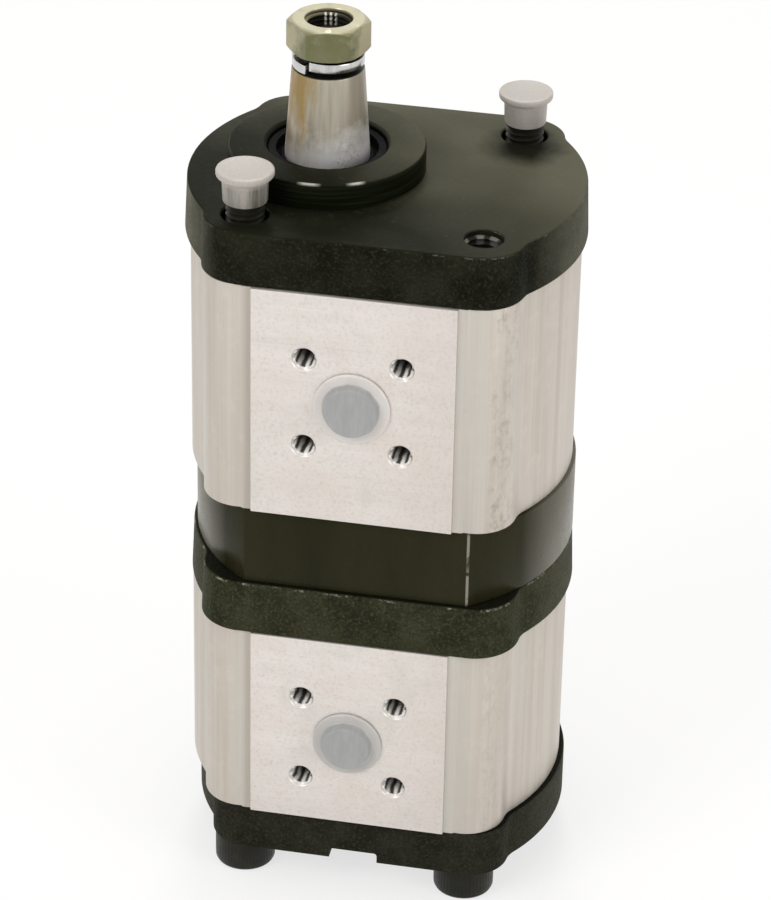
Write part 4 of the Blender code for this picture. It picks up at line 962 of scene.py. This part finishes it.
def addFloor():
    pick()
    bpy.ops.mesh.primitive_plane_add(size=6.0, location=(0, 0.6, 0))
    floor = placed("studioFloor")
    material = bpy.data.materials.new("paleFloor")
    material.use_nodes = True
    tree = material.node_tree
    shader = tree.nodes["Principled BSDF"]
    shader.inputs["Base Color"].default_value = studioTones["floor"]
    shader.inputs["Roughness"].default_value = 0.8
    glow = addNode(tree, "Emission", {"Color": white, "Strength": 1.0})
    share = maths(tree, "MULTIPLY", seenDirectly(tree), studioTones["floorGlow"])
    mixed = addNode(tree, "MixShader", {0: share, 1: shader.outputs[0], 2: glow.outputs[0]})
    tree.links.new(mixed.outputs[0], tree.nodes["Material Output"].inputs["Surface"])
    floor.data.materials.append(material)


bpy.context.scene.view_settings.view_transform = "Standard"
addCamera()
addLamps()
addWorld()
addFloor()
print("studio ready")


castingHollow = 8.0 * mm
closestCorners = 0.25 * mm
screwHole = 5.5 * mm


def outlineOf(shape):
    # the outermost of round end, flat side, screw lobe, hollow corner and port pad, about the middle
    endRadius, depth, lobe = shape["endRadius"], shape["halfDepth"], shape.get("lobeRadius", 0.0)
    padWidth, padReach = shape.get("padHalfWidth", 0.0), shape.get("padDepth", 0.0)
    away, side, far = screwReach * math.sqrt(2), lobe + castingHollow, endRadius + castingHollow
    begin = math.pi / 4 - math.acos(min(1, (far * far + away * away - side * side) / (2 * far * away)))
    hollowAt = (far * math.cos(begin), far * math.sin(begin))
    touch = [screwReach + (value - screwReach) * lobe / side for value in hollowAt]
    stop = math.atan2(touch[1], touch[0])

    def reachOf(centre, radius, angle, way):
        along = centre[0] * math.cos(angle) + centre[1] * math.sin(angle)
        left = radius ** 2 - (centre[0] ** 2 + centre[1] ** 2 - along ** 2)
        return along + way * math.sqrt(left) if left > 0 else 0.0

    def outermost(angle):
        sine, cosine = max(math.sin(angle), 1e-9), max(math.cos(angle), 1e-9)
        found = [(endRadius, "end") if endRadius < depth / sine else (depth / sine, "flat")]
        if lobe:
            found.append((reachOf((screwReach, screwReach), lobe, angle, 1), "lobe"))
        if lobe and begin < angle < stop:
            found.append((reachOf(hollowAt, castingHollow, angle, -1), "hollow"))
        if padWidth:
            found.append((min(padWidth / cosine, padReach / sine), "pad"))
        return max(found)

    samples, keepEvery = 720, {"end": 16, "lobe": 4, "hollow": 2}
    quarter, formBefore = [], None
    for i in range(samples):
        angle = math.pi / 2 * i / samples
        reach, form = outermost(angle)
        if formBefore and form != formBefore:
            below, above = math.pi / 2 * (i - 1) / samples, angle
            for _ in range(40):
                middle = (below + above) / 2
                if outermost(middle)[1] == formBefore:
                    below = middle
                else:
                    above = middle
            corner = outermost(above)[0]
            spot = (corner * math.cos(above), corner * math.sin(above))
            if quarter and math.dist(quarter[-1], spot) < closestCorners:
                quarter.pop()
            quarter.append(spot)
        formBefore = form
        spot = (reach * math.cos(angle), reach * math.sin(angle))
        apart = not quarter or math.dist(quarter[-1], spot) > closestCorners
        if apart and i % keepEvery.get(form, samples) == 0:
            quarter.append(spot)
    if padWidth:
        quarter.append((padWidth, padReach))
        quarter.sort(key=lambda spot: math.atan2(spot[1], spot[0]))
    mirrored = [(-x, y) for x, y in reversed(quarter)]
    half = quarter + mirrored
    around = half + [(-x, -y) for x, y in half[1:-1]]
    return [(x + shape.get("shift", 0.0), y) for x, y in around]


def addCasting(name, low, high, shape, steps=2):
    body = raisePlate(name, outlineOf(shape), low, high, shape.get("draft", 0.0), shape.get("shift", 0.0))
    return roundEdges(body, shape["edge"], steps, 24, clamp=False)


def holeCutter(radius, low, high, centre=(0, 0), chamfer=0.0, count=48):
    # cuts a through hole, with its mouth broken at the top
    line = [(0, high + 1 * mm), (radius + chamfer, high + 1 * mm), (radius + chamfer, high),
            (radius, high - chamfer), (radius, low - 1 * mm), (0, low - 1 * mm)]
    if not chamfer:
        line = line[:1] + [(radius, high + 1 * mm)] + line[4:]
    return spinRound("holeCutter", line, count, centre)


def screwHoleCutters(low, high):
    first = holeCutter(screwHole, low, high)
    cutters = [copyOf(first, "screwHole", (*place, 0)) for place in screwPlaces.values()]
    discard(first)
    return cutters


flangeShape = inMetres(endRadius=51.196, halfDepth=41.4, lobeRadius=11.0, draft=0.6, edge=0.45,
                       pilotRadius=25.0, pilotEdge=0.9, pocketRadius=15.3, pocketDepth=10.3, boreRadius=11.6,
                       boltHole=6.0, tappedHole=5.0, tappedDepth=6.2, screwHole=5.3, threadCrest=4.28,
                       threadPitch=1.5, threadLength=6.4)


def makeFrontCover():
    shape = flangeShape
    low, top = levels["front_cover"]
    body = addCasting("frontCover", low, mountingFace, shape, 3)
    pilot, edge = shape["pilotRadius"], shape["pilotEdge"]
    ring = [(0, top), (pilot - edge, top), (pilot - edge * 0.3, top - edge * 0.3), (pilot, top - edge),
            (pilot, mountingFace + 0.5 * mm), (pilot - 0.4 * mm, mountingFace + 0.3 * mm),
            (pilot - 0.4 * mm, mountingFace - 2 * mm), (0, mountingFace - 2 * mm)]
    combine(body, spinRound("pilot", ring, 128, driveAxis), "UNION")
    floor = top - shape["pocketDepth"]
    wall = shape["pocketRadius"]
    groove = wall + 0.9 * mm
    pocket = [(0, top + 1 * mm), (wall + 1.8 * mm, top + 1 * mm), (wall + 0.8 * mm, top),
              (wall, top - 0.9 * mm), (wall, top - 1.5 * mm), (groove, top - 1.5 * mm),
              (groove, top - 2.9 * mm), (wall, top - 2.9 * mm), (wall, floor), (shape["boreRadius"], floor),
              (shape["boreRadius"], low - 1 * mm), (0, low - 1 * mm)]
    combine(body, spinRound("pocket", pocket, 96, driveAxis))
    stop = mountingFace - shape["tappedDepth"]
    through = holeCutter(shape["boltHole"], low, mountingFace, chamfer=0.35 * mm, count=64)
    tapped = spinRound("tapped", [
        (0, mountingFace + 1 * mm), (shape["tappedHole"] + 0.2 * mm, mountingFace + 1 * mm),
        (shape["tappedHole"] + 0.2 * mm, mountingFace), (shape["tappedHole"], mountingFace - 0.2 * mm),
        (shape["tappedHole"], stop), (shape["screwHole"], stop - 0.3 * mm),
        (shape["screwHole"], low - 1 * mm), (0, low - 1 * mm)], 64)
    cutters = [copyOf(through, "through", (*screwPlaces[side], 0)) for side in ("left", "right")]
    cutters += [copyOf(tapped, "tapped", (*screwPlaces[side], 0)) for side in ("front", "rear")]
    discard(through, tapped)
    combine(body, gather("flangeHoles", cutters))
    finishPiece(body, flangeMaterial, "black_casting", "casing", "front_cover")
    thread = screwThread("tappedThread", shape["threadLength"], shape["tappedHole"] - 0.02 * mm,
                         shape["threadCrest"], shape["threadPitch"], inwards=True, count=40)
    keepOwnSpace(thread)
    for side in ("front", "rear"):
        made = copyOf(thread, side + "TappedThread", (*screwPlaces[side], stop - 0.3 * mm))
        finishPiece(made, tappedThreadMaterial, "black_casting", "casing")
    discard(thread)


housingShape = inMetres(endRadius=49.796, halfDepth=41.0, lobeRadius=10.6, edge=0.30, padHalfWidth=26.0,
                        padDepth=42.0, boreRadius=18.55)
portShape = inMetres(threadRadius=3.05, threadCore=2.50, threadPitch=1.0, outletSquare=24.75,
                     inletSquare=28.28, inletRadius=9.6, mouth=1.4, mouthDepth=0.4, depth=36.0)
outletRadii = inMetres(upper=7.6, lower=7.0)

# one tapped hole and its thread, modelled at the origin with the mouth upwards, serve all the ports
bore = portShape["threadRadius"]
tappingCutter = spinRound("tappingCutter", [
    (0, 1 * mm), (bore + 1.25 * mm, 1 * mm), (bore + 0.25 * mm, 0), (bore, -0.25 * mm),
    (bore, -portThreadDepth - 0.5 * mm), (0, -portThreadDepth - 2.0 * mm)], 32)
portThread = screwThread("portThread", portThreadDepth, bore - 0.01 * mm, portShape["threadCore"],
                         portShape["threadPitch"], inwards=True, count=24)
keepOwnSpace(portThread)


def makeHousing(stage, outletRadius):
    shape, node = housingShape, stage + "_housing"
    low, high = levels[node]
    plugLow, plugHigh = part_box(stage + "_outlet_plug")
    height = (plugLow.z + plugHigh.z) / 2
    body = addCasting(stage + "Housing", low, high, shape)
    driveBore = holeCutter(shape["boreRadius"], low, high, driveAxis, count=96)
    combine(body, gather("uprightHoles", [driveBore] + screwHoleCutters(low, high)))
    combine(body, holeCutter(shape["boreRadius"], low, high, idlerAxis, count=96))
    threads, deep = [], -portShape["depth"]
    for facing, radius, square in ((-1, outletRadius, portShape["outletSquare"]),
                                   (1, portShape["inletRadius"], portShape["inletSquare"])):
        turn, face = math.radians(-90 * facing), facing * shape["padDepth"]
        line = [(0, 1 * mm), (radius + portShape["mouth"], 1 * mm), (radius, -portShape["mouthDepth"]),
                (radius, deep), (0, deep)]
        cutters = [spinRound("port", line, 64, turn=(turn, 0, 0), at=(0, face, height))]
        for x in (-square / 2, square / 2):
            for z in (height - square / 2, height + square / 2):
                cutters.append(copyOf(tappingCutter, "tapping", (x, face, z), turn, "X"))
                base = (x, facing * (shape["padDepth"] - portThreadDepth), z)
                threads.append(copyOf(portThread, "thread", base, turn, "X"))
        combine(body, gather("portHoles", cutters))
    finishPiece(body, aluminiumMaterial, "extruded_aluminium", "casing", node)
    finishPiece(gather(stage + "HousingThreads", threads), portThreadMaterial, "extruded_aluminium", "casing",
                angle=50)


plateShape = inMetres(endRadius=49.596, halfDepth=40.2, edge=0.25, shift=1.1, neckBore=12.6)
lowerCoverShape = inMetres(endRadius=50.596, halfDepth=42.0, lobeRadius=12.0, draft=0.6, edge=0.6, shift=0.6,
                           seatRadius=12.1, seatDepth=6.3, neckBore=8.6)
rearCoverShape = inMetres(endRadius=49.596, halfDepth=40.2, lobeRadius=10.2, edge=0.45, shift=1.6,
                          channelWidth=13.0, channelHeight=3.1, channelLength=120.0, channelEdge=0.8)


def makePlates():
    low, high = levels["intermediate_cover"]
    body = addCasting("intermediatePlate", low, high, plateShape)
    holes = screwHoleCutters(low, high) + [holeCutter(plateShape["neckBore"], low, high, driveAxis, count=64)]
    combine(body, gather("plateHoles", holes))
    finishPiece(body, plateMaterial, "machined_black", "casing", "intermediate_cover")

    shape = lowerCoverShape
    low, high = levels["lower_front_cover"]
    body = addCasting("lowerFrontCover", low, high, shape, 3)
    seatRadius, neckBore, seatLow = shape["seatRadius"], shape["neckBore"], high - shape["seatDepth"]
    line = [(0, high + 1 * mm), (seatRadius, high + 1 * mm), (seatRadius, seatLow), (neckBore, seatLow),
            (neckBore, low - 1 * mm), (0, low - 1 * mm)]
    seat = spinRound("sealSeat", line, 64, driveAxis)
    combine(body, gather("coverHoles", screwHoleCutters(low, high) + [seat]))
    finishPiece(body, lowerMaterial, "black_casting", "casing", "lower_front_cover")

    shape = rearCoverShape
    low, high = levels["rear_cover"]
    body = addCasting("rearCover", low, high, shape)
    middle, half, reach = shape["shift"], shape["channelWidth"] / 2, shape["channelLength"] / 2
    channel = addBlock("channel", (middle - half, -reach, low - 5 * mm),
                       (middle + half, reach, low + shape["channelHeight"]))
    roundEdges(channel, shape["channelEdge"], 3, 60)
    combine(body, channel)
    combine(body, gather("coverHoles", screwHoleCutters(low, high)))
    finishPiece(body, rearMaterial, "black_casting", "casing", "rear_cover")


makeFrontCover()
print("front cover ready")
for stage, outletRadius in outletRadii.items():
    makeHousing(stage, outletRadius)
discard(tappingCutter, portThread)
print("housings ready")
makePlates()
print("plates ready")


screwShape = inMetres(shank=4.9, headRadius=8.0, headHeight=10.0, socketFlats=8.0, socketDepth=5.2, pitch=1.5,
                      threadLength=26.0)
knurls = 48


def makeScrewHead():
    # knurled head with its hexagon socket, standing on the floor at the origin
    shape = screwShape
    head, tall = shape["headRadius"], shape["headHeight"]
    line = [(0, tall + 2 * mm), (shape["shank"], tall + 2 * mm), (shape["shank"], tall),
            (head - 0.5 * mm, tall), (head, tall - 0.5 * mm), (head, 1.2 * mm), (head - 0.35 * mm, 0.5 * mm),
            (head - 1.1 * mm, 0), (0, 0)]
    body = spinRound("screwHead", line, 96)
    corner = shape["socketFlats"] / math.sqrt(3)
    combine(body, addHexagon("socket", corner, -1 * mm, shape["socketDepth"]))
    mouth = [(0, 0.6 * mm), (corner - 0.4 * mm, 0.6 * mm), (corner + 0.4 * mm, -0.2 * mm), (0, -0.2 * mm)]
    combine(body, spinRound("mouth", mouth, 48))
    rib = addBlock("rib", (head - 0.25 * mm, -0.28 * mm, 2.2 * mm),
                   (head + 0.02 * mm, 0.28 * mm, tall - 1.0 * mm))
    roundEdges(rib, 0.12 * mm, 1, 60)
    turns = [2 * math.pi * i / knurls for i in range(1, knurls)]
    return gather("screwHead", [copyOf(rib, "rib", turn=turn) for turn in turns] + [rib, body])


def makeScrewPair(head, kind, node, sides):
    # two screws of one length: shank and thread are made once, then copied with the head
    shape = screwShape
    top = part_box(sides[0] + node)[1].z
    core, threadLow = shape["shank"] - 0.75 * mm, top - shape["threadLength"]
    line = [(0, top), (core - 0.5 * mm, top), (core, top - 0.6 * mm), (core, threadLow),
            (shape["shank"], threadLow - 0.6 * mm), (shape["shank"], shape["headHeight"] + 1 * mm),
            (0, shape["headHeight"] + 1 * mm)]
    shank = spinRound("shank", line, 64)
    thread = screwThread("thread", shape["threadLength"] - 0.9 * mm, shape["shank"], core - 0.02 * mm,
                         shape["pitch"], count=40)
    for side in sides:
        place = screwPlaces[side]
        parts = [copyOf(thread, "part", (*place, threadLow)), copyOf(head, "part", (*place, 0)),
                 copyOf(shank, "part", (*place, 0))]
        finishPiece(gather(side + kind, parts), blackSteelMaterial, "black_steel", "casing", side + node,
                    angle=35)
    discard(shank, thread)


capShape = inMetres(flangeRadius=7.3, flangeThickness=1.8, top=5.9, low=5.65, inner=5.2)
capScales = {"left": 1.0, "right": 0.95}


def makeCaps():
    # soft caps pushed over the bolt ends; the right one is a size smaller
    shape = capShape
    low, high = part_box("left_thread_cap")
    top, bottom, flange = high.z, low.z, shape["flangeRadius"]
    under = top - shape["flangeThickness"]
    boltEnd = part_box("left_through_bolt")[1].z
    line = [(0, top - 0.22 * mm), (flange - 1.7 * mm, top - 0.18 * mm), (flange - 0.9 * mm, top - 0.02 * mm),
            (flange - 0.5 * mm, top), (flange - 0.15 * mm, top - 0.12 * mm), (flange, top - 0.4 * mm),
            (flange, under + 0.45 * mm), (flange - 0.2 * mm, under + 0.1 * mm), (flange - 0.6 * mm, under),
            (shape["top"] + 0.25 * mm, under), (shape["top"], under - 0.3 * mm),
            (shape["low"], bottom + 0.2 * mm), (shape["low"] - 0.1 * mm, bottom),
            (shape["inner"] + 0.05 * mm, bottom), (shape["inner"], bottom + 0.2 * mm),
            (shape["inner"], boltEnd + 0.3 * mm), (0, boltEnd + 0.45 * mm)]
    cap = spinRound("cap", line, 96)
    keepOwnSpace(cap)
    for side, size in capScales.items():
        made = copyOf(cap, side + "Cap", (*screwPlaces[side], 0), size=size)
        finishPiece(made, capMaterial, "milky_plastic", "casing", side + "_thread_cap")
    discard(cap)


plugShape = inMetres(flangeThickness=0.8, bossHeight=2.2, lip=2.2, wall=1.1, skirt=6.5, standsOff=0.2)


def makePlugs(radius, facing, kind, stages):
    # push-in plugs of one size: thin rim on the pad, raised boss, skirt in the bore
    shape = plugShape
    rim, skirt, thick = radius + shape["lip"], radius - 0.3 * mm, shape["flangeThickness"]
    boss = skirt - 0.4 * mm
    rise = thick + shape["bossHeight"]
    line = [(0, rise - 0.12 * mm), (boss - 1.1 * mm, rise - 0.08 * mm), (boss - 0.5 * mm, rise),
            (boss - 0.15 * mm, rise - 0.15 * mm), (boss, rise - 0.5 * mm), (skirt, thick + 0.25 * mm),
            (skirt + 0.3 * mm, thick), (rim - 0.35 * mm, thick - 0.1 * mm),
            (rim - 0.05 * mm, thick - 0.35 * mm), (rim, 0.1 * mm), (rim - 0.15 * mm, 0), (skirt, 0),
            (skirt - 0.4 * mm, -shape["skirt"]), (skirt - shape["wall"], -shape["skirt"]),
            (boss - shape["wall"], rise - shape["wall"]), (0, rise - shape["wall"])]
    plug = spinRound("plug", line, 96)
    keepOwnSpace(plug, radius)
    for stage in stages:
        node = stage + "_" + kind.lower() + "_plug"
        low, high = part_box(node)
        seat = (0, facing * (padDepth + shape["standsOff"]), (low.z + high.z) / 2)
        made = copyOf(plug, stage + kind + "Plug", seat, math.radians(-90 * facing), "X")
        finishPiece(made, plugMaterial, "milky_plastic", "casing", node)
    discard(plug)


screwHead = makeScrewHead()
makeScrewPair(screwHead, "Bolt", "_through_bolt", ("left", "right"))
makeScrewPair(screwHead, "Screw", "_body_screw", ("front", "rear"))
discard(screwHead)
makeCaps()
for stage, outletRadius in outletRadii.items():
    makePlugs(outletRadius, -1, "Outlet", [stage])
makePlugs(portShape["inletRadius"], 1, "Inlet", list(outletRadii))
print("screws, caps and plugs ready")


def makeShaftEnd():
    shape = shaftFinish
    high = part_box("upper_drive_gear_shaft")[1]
    split = levels["front_cover"][0] - 1 * mm
    gear = bpy.data.objects.new("upperDriveGear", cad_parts["upper_drive_gear_shaft"].data.copy())
    bpy.context.scene.collection.objects.link(gear)
    cleanUp(gear)
    sliceOff(gear, (0, 0, split), (0, 0, 1))
    finishPiece(gear, gearMaterial, "ground_steel", "drive", "upper_drive_gear_shaft", angle=25)

    coneLow = mountingFace + shape["coneRise"]
    coneHigh = coneLow + shape["coneLength"]
    coneTop = shape["base"] - shape["coneLength"] * shape["taper"] / 2
    core, top = shape["threadRadius"] - 0.75 * mm, high.z
    line = [(0, top - 2.3 * mm), (0.9 * mm, top - 1.8 * mm), (1.9 * mm, top - 0.1 * mm),
            (core - 0.7 * mm, top - 0.1 * mm), (core - 0.5 * mm, top), (core - 0.3 * mm, top - 0.1 * mm),
            (core, top - 0.5 * mm), (core, coneHigh + 0.2 * mm), (core + 0.2 * mm, coneHigh),
            (coneTop - 0.6 * mm, coneHigh), (coneTop - 0.15 * mm, coneHigh - 0.15 * mm),
            (coneTop, coneHigh - 0.6 * mm), (shape["base"], coneLow), (shape["base"], split + 3 * mm),
            (shape["journal"], split + 2 * mm), (shape["journal"], split), (0, split)]
    shaft = spinRound("driveShaftEnd", line, 128, driveAxis)
    keyLow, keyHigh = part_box("woodruff_key")
    middle = (keyLow + keyHigh) / 2
    radius, half = (keyHigh.z - keyLow.z) / 2, (keyHigh.x - keyLow.x) / 2
    disc = [(0, half), (radius, half), (radius, -half), (0, -half)]
    at = (middle.x, keyLow.y + radius, middle.z)
    key = spinRound("shaftKey", disc, 64, turn=(0, math.radians(90), 0), at=at)
    combine(shaft, copyOf(key, "keyCutter"))
    thread = copyOf(screwThread("thread", top - coneHigh - 0.9 * mm, shape["threadRadius"], core - 0.02 * mm,
                                shape["threadPitch"], count=48), "shaftThread",
                    (*driveAxis, coneHigh + 0.4 * mm))
    discard(bpy.data.objects["thread"])
    finishPiece(gather("driveShaftEnd", [thread, shaft]), coneMaterial, "ground_steel", "drive",
                "upper_drive_gear_shaft")

    sliceOff(key, (0, keyHigh.y, 0), (0, 1, 0))
    roundEdges(key, 0.25 * mm, 2, 40)
    shrink = Matrix.Diagonal((0.995, 0.998, 0.995, 1))
    key.data.transform(Matrix.Translation(middle) @ shrink @ Matrix.Translation(-middle))
    finishPiece(key, gearMaterial, "ground_steel", "drive", "woodruff_key")


nutShape = inMetres(flats=18.5, bore=6.05, threadCrest=5.4, pitch=1.25, threadDrop=7.75)
nutTurn = math.radians(-19.5)


def makeNut():
    shape = nutShape
    low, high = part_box("shaft_nut")
    corner = shape["flats"] / math.sqrt(3)
    drawn = addHexagon("hexagon", corner, low.z, high.z)
    # the first corner of the drawn hexagon points along Y
    hexagon = copyOf(drawn, "shaftNut", (*driveAxis, 0), nutTurn)
    discard(drawn)
    roundEdges(hexagon, 0.35 * mm, 3, 40)
    face = shape["flats"] / 2 * 0.965
    run = (corner - face) * 0.57
    barrel = [(0, high.z), (face, high.z), (corner + 0.1 * mm, high.z - run),
              (corner + 0.1 * mm, low.z + run), (face, low.z), (0, low.z)]
    combine(hexagon, spinRound("barrel", barrel, 96, driveAxis), "INTERSECT")
    bore = shape["bore"]
    line = [(0, high.z + 1 * mm), (bore + 1.1 * mm, high.z + 1 * mm), (bore + 0.1 * mm, high.z),
            (bore, high.z - 0.2 * mm), (bore, low.z + 0.5 * mm), (bore + 0.3 * mm, low.z),
            (bore + 1.3 * mm, low.z - 1 * mm), (0, low.z - 1 * mm)]
    combine(hexagon, spinRound("nutBore", line, 64, driveAxis))
    finishPiece(hexagon, zincMaterial, "yellow_zinc", "drive", "shaft_nut", angle=25)
    drawn = screwThread("nutGroove", high.z - low.z - 1.2 * mm, bore - 0.01 * mm, shape["threadCrest"],
                        shape["pitch"], inwards=True, count=40)
    thread = copyOf(drawn, "nutThread", (*driveAxis, high.z - shape["threadDrop"]))
    discard(drawn)
    finishPiece(thread, nutThreadMaterial, "yellow_zinc", "drive", angle=40)


washerShape = inMetres(thickness=2.5, inner=6.45, edge=0.22)
washerSlit, washerSlitAt, washerSteps = 7.0, -114.0, 90


def makeWasher():
    # a square section wound nearly once round, from its high end right of the slit to its low end
    shape = washerShape
    low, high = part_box("spring_washer")
    outer, thick = (high.y - low.y) / 2, shape["thickness"]
    rise = (high.z - low.z) - thick
    inner = shape["inner"]
    piece = drawLine("springWasher", [(inner, rise), (outer, rise), (outer, rise + thick),
                                      (inner, rise + thick), (inner, rise)])
    weld()
    selectAll()
    bpy.ops.mesh.edge_face_add()
    pick(piece)
    step = piece.modifiers.new("wound", "SCREW")
    step.axis = "Z"
    step.angle = math.radians(360 - washerSlit)
    step.screw_offset = -rise
    step.steps = washerSteps
    step.render_steps = washerSteps
    bpy.ops.object.modifier_apply(modifier=step.name)
    editAll()
    weld()
    bpy.ops.mesh.select_all(action="DESELECT")
    bpy.ops.mesh.select_non_manifold(extend=False)
    bpy.ops.mesh.edge_face_add()
    faceOutwards()
    pick(piece)
    roundEdges(piece, shape["edge"], 2, 40)
    turn = math.radians(washerSlitAt + washerSlit / 2)
    piece.data.transform(Matrix.Translation((driveAxis[0], 0, low.z)) @ Matrix.Rotation(turn, 4, "Z"))
    finishPiece(piece, springMaterial, "spring_steel", "drive", "spring_washer")


sealShape = inMetres(outer=15.0, lip=10.86)


def makeSeal():
    low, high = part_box("shaft_seal")
    outer, lip, top = sealShape["outer"], sealShape["lip"], high.z
    line = [(outer - 0.3 * mm, top), (outer, top - 0.3 * mm), (outer, low.z), (outer - 1.2 * mm, low.z),
            (outer - 1.2 * mm, top - 1.9 * mm), (lip + 1.5 * mm, top - 2.2 * mm),
            (lip + 0.9 * mm, top - 3.4 * mm), (lip, top - 3.6 * mm), (lip + 0.4 * mm, top - 2.4 * mm),
            (lip, top - 0.9 * mm), (lip + 0.25 * mm, top - 0.3 * mm), (lip + 0.7 * mm, top - 0.25 * mm),
            (lip + 1.5 * mm, top - 1.0 * mm), (outer - 1.7 * mm, top - 1.0 * mm),
            (outer - 1.2 * mm, top - 0.1 * mm)]
    body = spinRound("shaftSeal", line, 96, driveAxis, closed=True)
    finishPiece(body, rubberMaterial, "black_rubber", "casing", "shaft_seal")


makeShaftEnd()
makeNut()
makeWasher()
makeSeal()
print("drive end ready")

# the inner pieces keep their CAD shape and get their finish here
innerFinish = {
    "_bush": bronzeMaterial, "_bearing_block": blockMaterial, "_body_seal": rubberMaterial,
    "stage_seal": rubberMaterial, "driven_gear": gearMaterial, "lower_drive_gear": gearMaterial,
    "shaft_coupling": blackSteelMaterial, "seal_snap_ring": ringMaterial,
}
for nodeName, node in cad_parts.items():
    for ending, material in innerFinish.items():
        if nodeName.endswith(ending):
            for place in node.material_slots:
                place.material = material
print("inner pieces ready")

bpy.context.view_layer.update()
